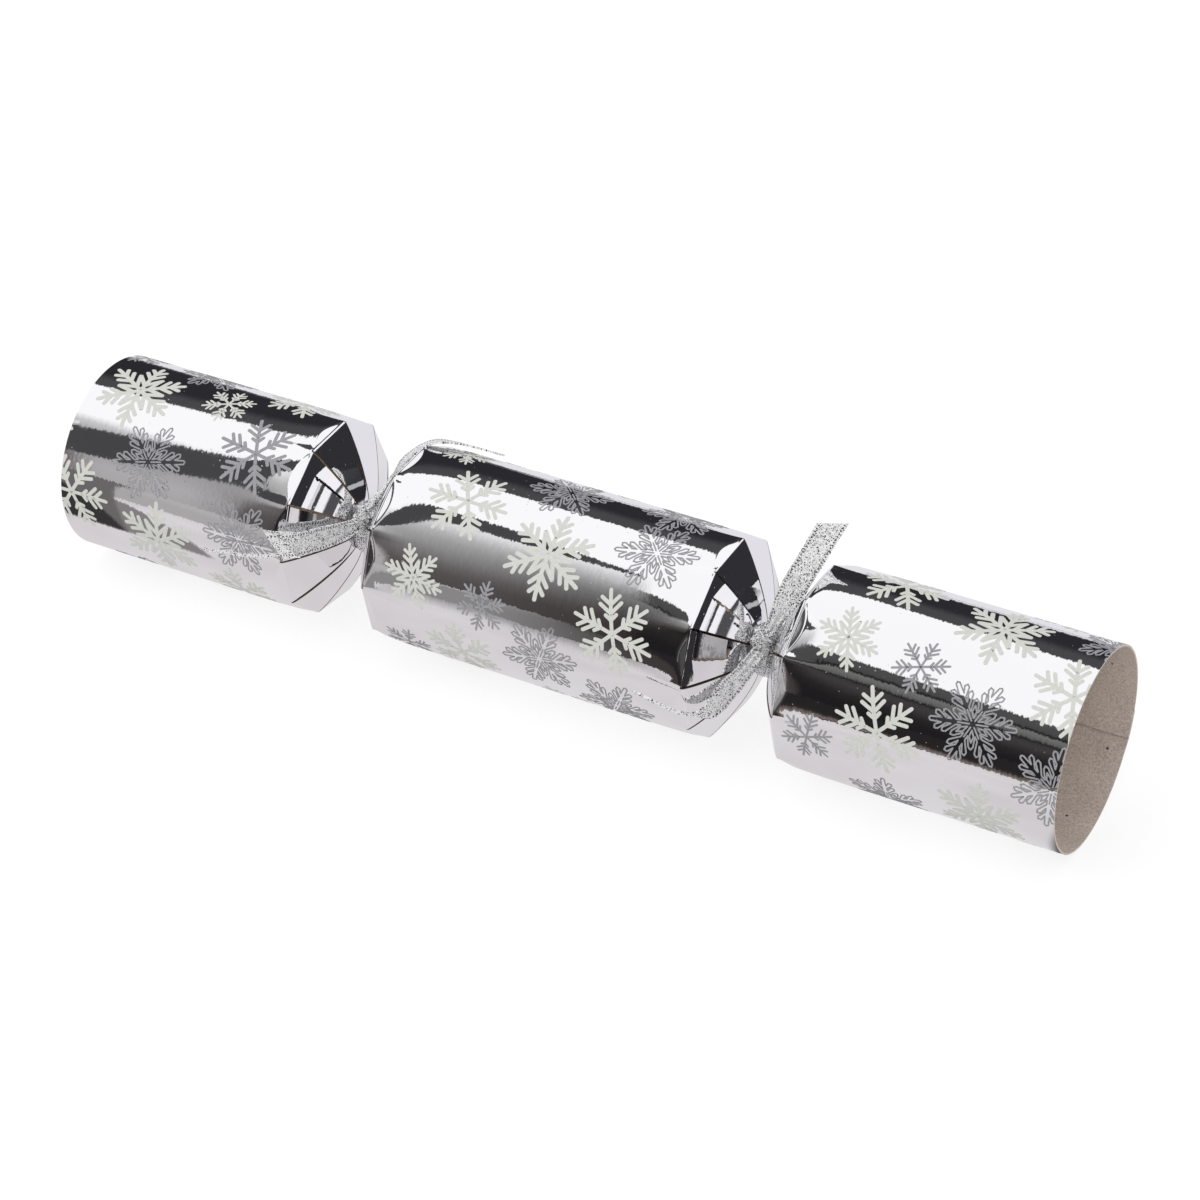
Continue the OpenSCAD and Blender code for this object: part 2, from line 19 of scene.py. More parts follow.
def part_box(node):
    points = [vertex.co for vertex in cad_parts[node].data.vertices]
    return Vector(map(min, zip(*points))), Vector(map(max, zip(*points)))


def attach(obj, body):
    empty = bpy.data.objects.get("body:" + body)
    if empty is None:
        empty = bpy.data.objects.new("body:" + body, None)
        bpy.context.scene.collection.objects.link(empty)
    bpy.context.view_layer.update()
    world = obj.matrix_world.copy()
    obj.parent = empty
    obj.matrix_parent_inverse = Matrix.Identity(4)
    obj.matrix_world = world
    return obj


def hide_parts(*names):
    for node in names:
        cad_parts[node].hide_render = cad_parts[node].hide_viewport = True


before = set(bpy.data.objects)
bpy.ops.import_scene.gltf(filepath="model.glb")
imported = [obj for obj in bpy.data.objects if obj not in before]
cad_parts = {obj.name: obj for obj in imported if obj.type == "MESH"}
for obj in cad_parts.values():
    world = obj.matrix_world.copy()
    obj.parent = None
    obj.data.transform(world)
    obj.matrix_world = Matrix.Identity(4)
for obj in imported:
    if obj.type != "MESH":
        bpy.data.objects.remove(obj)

LOG = logging.getLogger("cracker")
MM = 0.001
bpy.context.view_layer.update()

Ring = list[Vector]
Pair = tuple[float, float]
Colour = tuple[float, float, float]
Place = tuple[float, float, float]
Spot = tuple[float, float, float, float]
Stroke = tuple[Vector, Vector]
Socket = bpy.types.NodeSocket
Piece = bpy.types.Object


@dataclass(frozen=True)
class Sheet:
    """Sizes of the rolled board, in millimetres and degrees."""

    tube_r: float = 23.5
    board: float = 0.45
    axis_z: float = 23.5
    left_rim: float = -127.0
    right_rim: float = 127.0
    left_neck: float = -54.0
    right_neck: float = 50.0
    strips: int = 11
    strip_a: float = 34.14
    phase: float = 2.0
    lap_a: float = 15.6
    ramp_a: float = 7.0
    shoulder_r: float = 23.83
    crease_start: float = 29.0

    def slit(self, index: int) -> float:
        """Angle of a slit, counted from the seam."""
        return self.phase + (index - 5) * self.strip_a

    def strip_end(self, index: int) -> float:
        """Angle of the slit that ends a strip."""
        return self.slit(index + 1) if index < self.strips - 1 else self.slit(0) + 360

    def half(self, index: int) -> float:
        """Half of a strip's angle, in radians."""
        return math.radians(self.strip_end(index) - self.slit(index)) / 2

    def middle(self, index: int) -> float:
        """Angle of the middle of a strip, in radians."""
        return math.radians(self.strip_end(index) + self.slit(index)) / 2


SHEET = Sheet()


def polar(x: float, radius: float, angle: float) -> Vector:
    """A point round the tube.

    Args:
        x: Place along the cracker, in millimetres.
        radius: Distance from the tube's axis, in millimetres.
        angle: Angle from the front, in radians.

    Returns:
        The point in metres.
    """
    y = -radius * math.cos(angle)
    z = radius * math.sin(angle) + SHEET.axis_z
    return Vector((x, y, z)) * MM


def ray(angle: float) -> Vector:
    """The unit vector at an angle in the flat plane."""
    return Vector((math.cos(angle), math.sin(angle), 0))


def lerp(a: float, b: float, share: float) -> float:
    """A value between two others."""
    return a + (b - a) * share


def phases(turn: random.Random) -> list[float]:
    """Four random angles."""
    return [turn.uniform(0, math.tau) for _ in range(4)]


def link(name: str, data: bpy.types.ID) -> Piece:
    """Makes an object of some data and puts it in the scene.

    Args:
        name: The object's name.
        data: Its mesh, light or camera.

    Returns:
        The object.
    """
    made = bpy.data.objects.new(name, data)
    bpy.context.scene.collection.objects.link(made)
    return made


def settle(made: Piece, node: str, slot: str, body: str = "barrel") -> Piece:
    """Puts a piece in place of a CAD node.

    Args:
        made: The piece.
        node: The CAD node that it replaces.
        slot: Its material slot. Not used.
        body: The body that it rides on.

    Returns:
        The piece.
    """
    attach(made, body)
    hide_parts(node)
    return made


@dataclass
class Draft:
    """Points, faces and UVs of a mesh that is being made."""

    points: Ring = field(default_factory=list)
    faces: list[list[int]] = field(default_factory=list)
    marks: list[int] = field(default_factory=list)
    uvs: list[list[Pair]] = field(default_factory=list)

    def ring(self, points: Sequence[Vector]) -> list[int]:
        """Adds points and gives their numbers.

        Args:
            points: The points to add.

        Returns:
            Their numbers.
        """
        start = len(self.points)
        self.points.extend(points)
        return list(range(start, start + len(points)))

    def face(self, ids: Sequence[int], mark: int = 0, uv: Sequence[Pair] | None = None) -> None:
        """Adds one face.

        Args:
            ids: The numbers of its points.
            mark: The number of its finish.
            uv: Its place on the piece's UV map, one pair a point.
        """
        self.faces.append(list(ids))
        self.marks.append(mark)
        self.uvs.append(list(uv) if uv else [(0.0, 0.0)] * len(ids))

    def tube(
        self,
        rings: Sequence[Ring],
        run: Sequence[float],
        round_: Sequence[float],
        closed_run: bool = False,
        lay: Sequence[Sequence[Pair]] | None = None,
    ) -> None:
        """Skins rings of equal count, and caps the ends of an open run.

        Args:
            rings: The rings, each one closed.
            run: Place of each ring along the run, for the UV map.
            round_: Place of each point round its ring, for the UV map, and
                the place at which the ring closes.
            closed_run: Whether the last ring joins the first.
            lay: Places on the UV map, ring by ring, used instead of both.
        """
        ids = [self.ring(r) for r in rings]
        count = len(rings[0])
        pairs = [(k, k + 1) for k in range(len(ids) - 1)]
        if closed_run:
            pairs.append((len(ids) - 1, 0))
        for a, b in pairs:
            ua, ub = run[a], run[b] if b else run[-1]
            for j in range(count):
                k = (j + 1) % count
                va, vb = round_[j], round_[j + 1]
                spots = [(ua, va), (ub, va), (ub, vb), (ua, vb)]
                if lay:
                    spots = [lay[a][j], lay[b][j], lay[b][j + 1], lay[a][j + 1]]
                self.face([ids[a][j], ids[b][j], ids[b][k], ids[a][k]], uv=spots)
        if not closed_run:
            for end, turn, place in ((ids[0], 1, run[0]), (ids[-1], -1, run[-1])):
                self.face(end[::turn], uv=[(place, 0.0)] * count)

    def piece(
        self, name: str, finishes: Sequence[bpy.types.Material], sharp: float = 35.0
    ) -> Piece:
        """Makes the object.

        Args:
            name: The piece's name.
            finishes: Its materials, in the order of the marks.
            sharp: Angle in degrees past which an edge is drawn sharp.

        Returns:
            The new object, in the scene.
        """
        mesh = bpy.data.meshes.new(name)
        mesh.from_pydata([tuple(p) for p in self.points], [], self.faces)
        layer = mesh.uv_layers.new(name="lay")
        layer.data.foreach_set("uv", [c for uv in self.uvs for pair in uv for c in pair])
        mesh.polygons.foreach_set("material_index", self.marks)
        work = bmesh.new()
        work.from_mesh(mesh)
        bmesh.ops.remove_doubles(work, verts=work.verts, dist=1e-7)
        bmesh.ops.recalc_face_normals(work, faces=work.faces)
        work.to_mesh(mesh)
        work.free()
        mesh.shade_smooth()
        mesh.set_sharp_from_angle(angle=math.radians(sharp))
        for material in finishes:
            mesh.materials.append(material)
        return link(name, mesh)


class Recipe:
    """A node tree that is being written."""

    def __init__(self, tree: bpy.types.NodeTree) -> None:
        """Keeps the tree and empties it."""
        self.tree = tree
        tree.nodes.clear()

    def put(self, value: object, socket: Socket) -> None:
        """Links an output to a socket, or sets the socket's own value.

        Args:
            value: An output socket, or a number or colour.
            socket: The input socket.
        """
        if isinstance(value, Socket):
            self.tree.links.new(value, socket)
        elif isinstance(value, tuple) and len(value) == 3 and socket.type == "RGBA":
            socket.default_value = (*value, 1.0)
        else:
            socket.default_value = value

    def node(
        self, kind: str, inputs: dict | Sequence[object] = (), **settings: object
    ) -> bpy.types.Node:
        """Adds a node.

        Args:
            kind: The node's type name.
            inputs: What goes to its inputs, by name or number, or in order.
            **settings: Properties to set on it first.

        Returns:
            The node.
        """
        node = self.tree.nodes.new(kind)
        for key, value in settings.items():
            setattr(node, key, value)
        for key, value in inputs.items() if isinstance(inputs, dict) else enumerate(inputs):
            self.put(value, node.inputs[key])
        return node

    def calc(self, operation: str, *values: object) -> Socket:
        """The result of a Math node."""
        return self.node("ShaderNodeMath", values, operation=operation).outputs[0]

    def times(self, first: object, *others: object) -> Socket:
        """The product of some values.

        Args:
            first: The first value.
            *others: The values to multiply it with.

        Returns:
            The product.
        """
        for other in others:
            first = self.calc("MULTIPLY", first, other)
        return first

    def minus(self, first: object, second: object) -> Socket:
        """The difference of two values."""
        return self.calc("SUBTRACT", first, second)

    def vector(self, operation: str, *values: object) -> Socket:
        """The resulting vector of a Vector Math node."""
        return self.node("ShaderNodeVectorMath", values, operation=operation).outputs[0]

    def scale(self, vector: object, factor: object) -> Socket:
        """A vector times a factor."""
        inputs = {0: vector, "Scale": factor}
        return self.node("ShaderNodeVectorMath", inputs, operation="SCALE").outputs[0]

    def split(self, vector: object) -> Sequence[Socket]:
        """The three parts of a vector."""
        return self.node("ShaderNodeSeparateXYZ", (vector,)).outputs

    def join(self, x: object = 0.0, y: object = 0.0, z: object = 0.0) -> Socket:
        """A vector of three parts."""
        return self.node("ShaderNodeCombineXYZ", (x, y, z)).outputs[0]

    def span(
        self, value: object, low: float, high: float, to_low: float = 0.0, to_high: float = 1.0
    ) -> Socket:
        """Maps a range of values on another, smoothly and clamped."""
        inputs = (value, low, high, to_low, to_high)
        return self.node("ShaderNodeMapRange", inputs, interpolation_type="SMOOTHSTEP").outputs[0]

    def noise(
        self, place: object, scale: float, detail: float = 2.0, rough: float = 0.5
    ) -> Socket:
        """Noise between 0 and 1, with its features a metre, octaves and their strength."""
        inputs = {"Vector": place, "Scale": scale, "Detail": detail, "Roughness": rough}
        return self.node("ShaderNodeTexNoise", inputs).outputs[0]

    def cells(self, place: object, scale: float, loose: float = 1.0) -> bpy.types.Node:
        """A Voronoi node with cells that leave their grid by a share."""
        inputs = {"Vector": place, "Scale": scale, "Randomness": loose}
        return self.node("ShaderNodeTexVoronoi", inputs)

    def blend(self, share: object, first: object, second: object) -> Socket:
        """A colour between two others."""
        inputs = {0: share, 6: first, 7: second}
        return self.node("ShaderNodeMix", inputs, data_type="RGBA").outputs[2]

    def bump(
        self, height: object, depth: float, strength: float = 1.0, under: object = None
    ) -> Socket:
        """A bump on the surface.

        Args:
            height: The height, 0 to 1.
            depth: What 1 stands for, in metres.
            strength: Share of the bump that is used.
            under: Another bump that this one lies on.

        Returns:
            The new normal.
        """
        inputs = {"Height": height, "Distance": depth, "Strength": strength}
        if under is not None:
            inputs["Normal"] = under
        return self.node("ShaderNodeBump", inputs).outputs[0]

    def place(self) -> Socket:
        """The piece's own coordinates, in metres."""
        return self.node("ShaderNodeTexCoord").outputs["Object"]

    def facing(self) -> Socket:
        """The surface's own normal."""
        return self.node("ShaderNodeNewGeometry").outputs["Normal"]

    def stretch(self, place: object, scale: Colour) -> Socket:
        """Coordinates that are stretched along their axes."""
        return self.node("ShaderNodeMapping", {"Vector": place, "Scale": scale}).outputs[0]

    def surface(self, **values: object) -> None:
        """Ends the tree in a Principled shader.

        Args:
            **values: What goes to its inputs, with spaces as underscores.
        """
        inputs = {key.replace("_", " "): value for key, value in values.items()}
        shader = self.node("ShaderNodeBsdfPrincipled", inputs)
        self.node("ShaderNodeOutputMaterial", {"Surface": shader.outputs[0]})


@dataclass(frozen=True)
class Finish:
    """One finish of the cracker. Its kinds write their own nodes."""

    name: str

    def write(self, recipe: Recipe) -> None:
        """Writes the nodes of the finish."""
        raise NotImplementedError

    def material(self) -> bpy.types.Material:
        """The material of this finish, made once.

        Returns:
            The material.
        """
        known = bpy.data.materials.get(self.name)
        if known:
            return known
        made = bpy.data.materials.new(self.name)
        made.use_nodes = True
        self.write(Recipe(made.node_tree))
        return made


@dataclass(frozen=True)
class MirrorFoil(Finish):
    """Silver film on board: sharp reflections with a fine fibrous break-up."""

    colour: Colour = (0.93, 0.925, 0.94)
    wobble: float = 0.000003
    lean: float = 0.07
    gloss: float = 0.022
    fibre: Colour = (1900.0, 420.0, 420.0)
    dust: float = 420.0

    def write(self, recipe: Recipe) -> None:
        """Writes the fibres, the soft sheen and the specks of the film."""
        place, facing = recipe.place(), recipe.facing()
        around = recipe.vector("CROSS_PRODUCT", facing, (1.0, 0.0, 0.0))
        fibres = recipe.noise(recipe.stretch(place, self.fibre), 1.0, 3.0, 0.65)
        lean = recipe.times(recipe.minus(fibres, 0.5), self.lean)
        normal = recipe.vector("ADD", facing, recipe.scale(around, lean))
        normal = recipe.vector("NORMALIZE", normal)
        normal = recipe.bump(recipe.noise(place, 900.0, 2.0), self.wobble, 0.8, normal)
        normal = recipe.bump(recipe.noise(place, 60.0, 2.0), self.wobble * 3, 1.0, normal)
        dust = recipe.cells(place, self.dust).outputs["Distance"]
        specks = recipe.span(dust, 0.05, 0.09, 1.0, 0.0)
        rough = recipe.calc("MULTIPLY_ADD", specks, 0.3, self.gloss)
        haze = recipe.span(recipe.noise(place, 180.0, 3.0), 0.35, 0.8, 0.0, 0.025)
        rough = recipe.calc("ADD", rough, haze)
        recipe.surface(Base_Color=self.colour, Metallic=1.0, Roughness=rough, Normal=normal)


@dataclass(frozen=True)
class Board(Finish):
    """Unbleached greyboard, with flecks and a few dark dots."""

    # The default tones are raised over the board's own: painted light for the shaded inside of
    # the tube.
    pale: Colour = (0.86, 0.76, 0.68)
    dark: Colour = (0.50, 0.43, 0.38)
    dots: Colour = (0.10, 0.08, 0.07)
    pulp: float = 2300.0
    dot_cells: float = 190.0

    def write(self, recipe: Recipe) -> None:
        """Writes the pulp, its flecks and its dots."""
        place = recipe.place()
        pulp = recipe.noise(place, self.pulp, 3.0, 0.7)
        patch = recipe.noise(place, 120.0, 2.0)
        share = recipe.span(recipe.calc("MULTIPLY_ADD", patch, 0.25, pulp), 0.38, 0.88)
        colour = recipe.blend(share, self.pale, self.dark)
        near = recipe.cells(place, self.dot_cells).outputs["Distance"]
        colour = recipe.blend(recipe.span(near, 0.045, 0.075, 1.0, 0.0), colour, self.dots)
        normal = recipe.bump(pulp, 0.00006)
        recipe.surface(
            Base_Color=colour, Roughness=0.92, Specular_IOR_Level=0.2, Normal=normal
        )


@dataclass(frozen=True)
class GlitterWeave(Finish):
    """Metal ribbon: bright, grey and black grains, with dotted edges."""

    silver: Colour = (1.0, 1.0, 1.0)
    middle: Colour = (0.55, 0.55, 0.56)
    # Colour of the black grains and of the printed edge dots; the extra black grains of the
    # knots' copy are painted shade.
    shade: Colour = (0.035, 0.035, 0.038)
    grain: float = 4700.0
    grey: float = 0.9
    dark: float = 0.15
    tilt: float = 0.8
    metal: float = 0.25
    gloss: float = 0.34
    stitch: float = 0.00075
    dotted: float = 0.0024

    def write(self, recipe: Recipe) -> None:
        """Writes the grains, their lean and the dots along the edges."""
        lay = recipe.node("ShaderNodeTexCoord").outputs["UV"]
        along, across, _ = recipe.split(lay)
        grains = recipe.cells(lay, self.grain, 0.8).outputs["Color"]
        black, grey, _ = recipe.split(grains)
        tilt = recipe.scale(recipe.vector("SUBTRACT", grains, (0.5, 0.5, 0.5)), self.tilt)
        normal = recipe.vector("NORMALIZE", recipe.vector("ADD", recipe.facing(), tilt))
        row = recipe.minus(recipe.calc("ABSOLUTE", across), self.dotted)
        row = recipe.span(recipe.calc("ABSOLUTE", row), 0.0001, 0.0003, 1.0, 0.0)
        beat = recipe.calc("FRACT", recipe.calc("DIVIDE", along, self.stitch))
        beat = recipe.calc("ABSOLUTE", recipe.minus(beat, 0.5))
        dots = recipe.times(row, recipe.span(beat, 0.16, 0.26, 1.0, 0.0))
        share = recipe.span(grey, self.grey - 0.02, self.grey + 0.02)
        colour = recipe.blend(share, self.silver, self.middle)
        black = recipe.span(black, self.dark - 0.02, self.dark + 0.02, 1.0, 0.0)
        colour = recipe.blend(recipe.calc("MAXIMUM", black, dots), colour, self.shade)
        recipe.surface(
            Base_Color=colour, Metallic=self.metal, Roughness=self.gloss, Normal=normal
        )


@dataclass(frozen=True)
class Paper(Finish):
    """Paper, tissue or card of one colour, with its fibres."""

    colour: Colour
    other: Colour
    fibre: float = 1500.0
    depth: float = 0.00003
    crumple: float = 0.0
    gloss: float = 0.85
    soft: float = 0.0

    def write(self, recipe: Recipe) -> None:
        """Writes the fibres and the crumple."""
        place = recipe.place()
        fibres = recipe.noise(recipe.stretch(place, (0.3, 1.0, 1.0)), self.fibre, 4.0, 0.65)
        cloud = recipe.noise(place, self.fibre / 9, 2.0)
        colour = recipe.blend(recipe.span(cloud, 0.3, 0.7), self.colour, self.other)
        colour = recipe.blend(recipe.span(fibres, 0.55, 0.8, 0.0, 0.5), colour, self.other)
        normal = recipe.bump(fibres, self.depth)
        if self.crumple:
            folds = recipe.cells(place, 160.0).outputs["Distance"]
            normal = recipe.bump(folds, self.crumple, 1.0, normal)
        recipe.surface(
            Base_Color=colour,
            Roughness=self.gloss,
            Specular_IOR_Level=0.3,
            Sheen_Weight=self.soft,
            Normal=normal,
        )


@dataclass(frozen=True)
class Mottle(Finish):
    """A plain material with a fine mottle: print, glue or rubber."""

    colour: Colour
    other: Colour
    grain: float
    depth: float
    gloss: float
    extra: tuple[str, float]
    detail: float = 3.0
    harsh: float = 0.5
    low: float = 0.3
    along: float = 1.0

    def write(self, recipe: Recipe) -> None:
        """Writes the mottle and the one input that is the material's own."""
        place = recipe.stretch(recipe.place(), (self.along, 1.0, 1.0))
        grain = recipe.noise(place, self.grain, self.detail, self.harsh)
        colour = recipe.blend(recipe.span(grain, self.low, 0.7), self.colour, self.other)
        normal = recipe.bump(grain, self.depth)
        extra = dict([self.extra])
        recipe.surface(Base_Color=colour, Roughness=self.gloss, Normal=normal, **extra)


@dataclass(frozen=True)
class Grit(Finish):
    """A painted patch of grains: the snap's powder or its grit."""

    colour: Colour
    other: Colour
    grain: float = 3000.0

    def write(self, recipe: Recipe) -> None:
        """Writes the grains."""
        grains = recipe.cells(recipe.place(), self.grain)
        pick = recipe.split(grains.outputs["Color"])[0]
        colour = recipe.blend(pick, self.colour, self.other)
        normal = recipe.bump(grains.outputs["Distance"], 0.0001)
        recipe.surface(Base_Color=colour, Roughness=0.8, Normal=normal)


@dataclass(frozen=True)
class Moulded(Finish):
    """Moulded plastic of the gift."""

    colour: Colour = (0.55, 0.03, 0.04)
    other: Colour = (0.47, 0.025, 0.035)

    def write(self, recipe: Recipe) -> None:
        """Writes the flow lines and the fine moulded grain."""
        place = recipe.place()
        flow = recipe.noise(place, 120.0, 2.0)
        grain = recipe.noise(place, 2500.0, 2.0)
        colour = recipe.blend(recipe.span(flow, 0.35, 0.7), self.colour, self.other)
        rough = recipe.span(grain, 0.3, 0.7, 0.25, 0.38)
        recipe.surface(Base_Color=colour, Roughness=rough, Normal=recipe.bump(grain, 0.00002))


FOIL = MirrorFoil("mirror film")
GREYBOARD_PAINTED_LIGHT = Board("greyboard inside, painted light")
# A far darker copy of the board: painted shade on the slit walls, the petals' ends and the seam's
# step.
CUT_EDGE_PAINTED_SHADE = Board("cut board edge, painted shade", (0.16, 0.12, 0.095), (0.075, 0.058, 0.048))
WOVEN = GlitterWeave("silver glitter weave")
# The knots and gathered turns take more black grains than the tails: painted shade in their folds
# and gaps.
KNOTTED_WEAVE_SHADED = GlitterWeave("silver glitter weave, knotted, painted shade", dark=0.27, tilt=1.1, metal=0.45)
CREAM_INK, GREY_INK = (
    Mottle(name, colour, worn, 1600.0, 0.00002, 0.6, ("Specular_IOR_Level", 0.25), 3.0, 0.6, 0.35)
    for name, colour, worn in (
        ("cream print", (0.71, 0.72, 0.665), (0.66, 0.67, 0.615)),
        ("grey print", (0.37, 0.37, 0.385), (0.32, 0.32, 0.335)),
    )
)
SNAP_CARD = Paper("snap card", (0.58, 0.47, 0.33), (0.48, 0.38, 0.26))
BAND_PAPER = Paper("band paper", (0.82, 0.81, 0.77), (0.74, 0.73, 0.69))
MOTTO_PAPER = Paper("motto paper", (0.86, 0.86, 0.84), (0.78, 0.78, 0.76))
TISSUE = Paper(
    "crown tissue", (0.62, 0.03, 0.04), (0.52, 0.02, 0.03), 2400.0, crumple=0.0004, soft=0.15
)
POWDER = Grit("snap powder", (0.30, 0.28, 0.26), (0.45, 0.42, 0.38))
GRIT = Grit("snap grit", (0.06, 0.05, 0.05), (0.2, 0.16, 0.14))
GLUE = Mottle(
    "dried glue", (0.72, 0.62, 0.42), (0.6, 0.5, 0.32), 500.0, 0.0001, 0.22,
    ("Coat_Weight", 0.4), 2.0,
)
ELASTIC = Mottle(
    "rubber band", (0.62, 0.42, 0.22), (0.52, 0.34, 0.17), 900.0, 0.00003, 0.55,
    ("Subsurface_Weight", 0.1), along=3.0,
)
TOP_PLASTIC = Moulded("gift plastic")


@dataclass(frozen=True)
class Glow:
    """Brightness by angle, in degrees. A stop's colour may be one grey."""

    stops: tuple[tuple[float, ...], ...]

    def ramp(self, recipe: Recipe, share: Socket) -> Socket:
        """Writes the stops as a colour ramp.

        Args:
            recipe: The nodes.
            share: The angle, with a whole turn as 1 and 0 degrees at its half.

        Returns:
            The colour.
        """
        node = recipe.node("ShaderNodeValToRGB", (share,))
        marks = node.color_ramp.elements
        marks.remove(marks[0])
        for count, (angle, *colour) in enumerate(self.stops):
            spot = (angle + 180) / 360
            mark = marks[0] if count == 0 else marks.new(spot)
            mark.position = spot
            mark.color = (*(colour if len(colour) == 3 else colour * 3), 1.0)
        return node.outputs[0]


@dataclass(frozen=True)
class Edge:
    """Height of a soft box's edge or a dark flag's edge along the room.

    Each point is a place along the room, as the sideways part of the
    direction, and the height of the edge there in degrees.
    """

    points: tuple[Pair, ...]
    first: float = -0.56
    last: float = -0.26
    top: float = 200.0

    def height(self, recipe: Recipe, side: Socket) -> Socket:
        """Writes the edge as a curve.

        Args:
            recipe: The world's nodes.
            side: The sideways part of the direction.

        Returns:
            The height in degrees.
        """
        share = recipe.node("ShaderNodeMapRange", (side, self.first, self.last, 0.0, 1.0))
        node = recipe.node("ShaderNodeFloatCurve", {"Value": share.outputs[0]})
        curve = node.mapping.curves[0]
        for count, (place, height) in enumerate(self.points):
            spot = ((place - self.first) / (self.last - self.first), height / self.top)
            if count < 2:
                curve.points[count].location = spot
            else:
                curve.points.new(*spot)
        for point in curve.points:
            point.handle_type = "AUTO_CLAMPED"
        node.mapping.update()
        return recipe.times(node.outputs[0], self.top)


MIDDLE_ROOM = Glow((
    (0, 0.042, 0.036, 0.036), (12, 0.045, 0.036, 0.034), (22, 0.055, 0.046, 0.045),
    (33, 0.09, 0.085, 0.085), (42, 0.15), (50, 0.25), (57, 0.42), (64, 0.58, 0.58, 0.59),
    (74, 0.9, 0.9, 0.91), (78, 1.02, 1.02, 1.03), (180, 1.02, 1.02, 1.03),
))
MIDDLE_LEFT_ROOM = Glow((
    (0, 0.085, 0.078, 0.078), (12, 0.10, 0.09, 0.09), (22, 0.15, 0.14, 0.14),
    (33, 0.24, 0.235, 0.235), (48, 0.37), (57, 0.50), (66, 0.75, 0.75, 0.76),
    (76, 1.02, 1.02, 1.03), (180, 1.02, 1.02, 1.03),
))
RIGHT_ROOM = Glow((
    (5, 0.014, 0.013, 0.014), (14, 0.022, 0.02, 0.02), (24, 0.05, 0.047, 0.047),
    (28.5, 0.045, 0.042, 0.042), (29, 0.012), (30.5, 0.012), (31.5, 0.11, 0.11, 0.108),
    (38, 0.17, 0.17, 0.165), (39, 0.012), (40.5, 0.012), (41.5, 0.065), (50, 0.078),
    (50.8, 0.03), (51.8, 1.0, 1.0, 1.01), (180, 1.02, 1.02, 1.03),
))
LEFT_ROOM = Glow((
    (0, 0.42, 0.405, 0.41), (14, 0.44, 0.43, 0.435), (30, 0.38, 0.37, 0.375),
    (45, 0.34, 0.335, 0.34), (60, 0.6, 0.6, 0.61), (68, 1.02, 1.02, 1.03),
    (180, 1.02, 1.02, 1.03),
))
# Painted bands of light and dark in the floor's glow, which the film mirrors past the table's
# edge.
PAINTED_FLOOR_GLOW_BANDS = Glow((
    (26, 0.035, 0.03, 0.03), (40.5, 0.035, 0.03, 0.03), (41.5, 0.32, 0.25, 0.2),
    (44.5, 0.21, 0.165, 0.14), (46.5, 0.11, 0.105, 0.105), (53, 0.13, 0.125, 0.125),
    (58, 0.04, 0.035, 0.033), (60, 0.16, 0.07, 0.05), (63, 0.03, 0.026, 0.026),
    (90, 0.02, 0.018, 0.019),
))
FLAG_LOW = Edge((
    (-0.56, 12), (-0.52, 24), (-0.505, 31), (-0.49, 39), (-0.475, 47), (-0.455, 59), (-0.436, 68),
    (-0.408, 70), (-0.387, 72), (-0.378, 74), (-0.26, 76),
))
FLAG_HIGH = Edge((
    (-0.56, 40), (-0.52, 57), (-0.495, 69), (-0.465, 79), (-0.444, 83), (-0.425, 83),
    (-0.408, 80), (-0.387, 76), (-0.378, 73.5), (-0.26, 70),
))
BACK_START = Edge((
    (-0.56, 103), (-0.52, 109), (-0.495, 115), (-0.465, 121), (-0.44, 126), (-0.40, 128),
    (-0.34, 130), (-0.30, 129), (-0.26, 126),
))


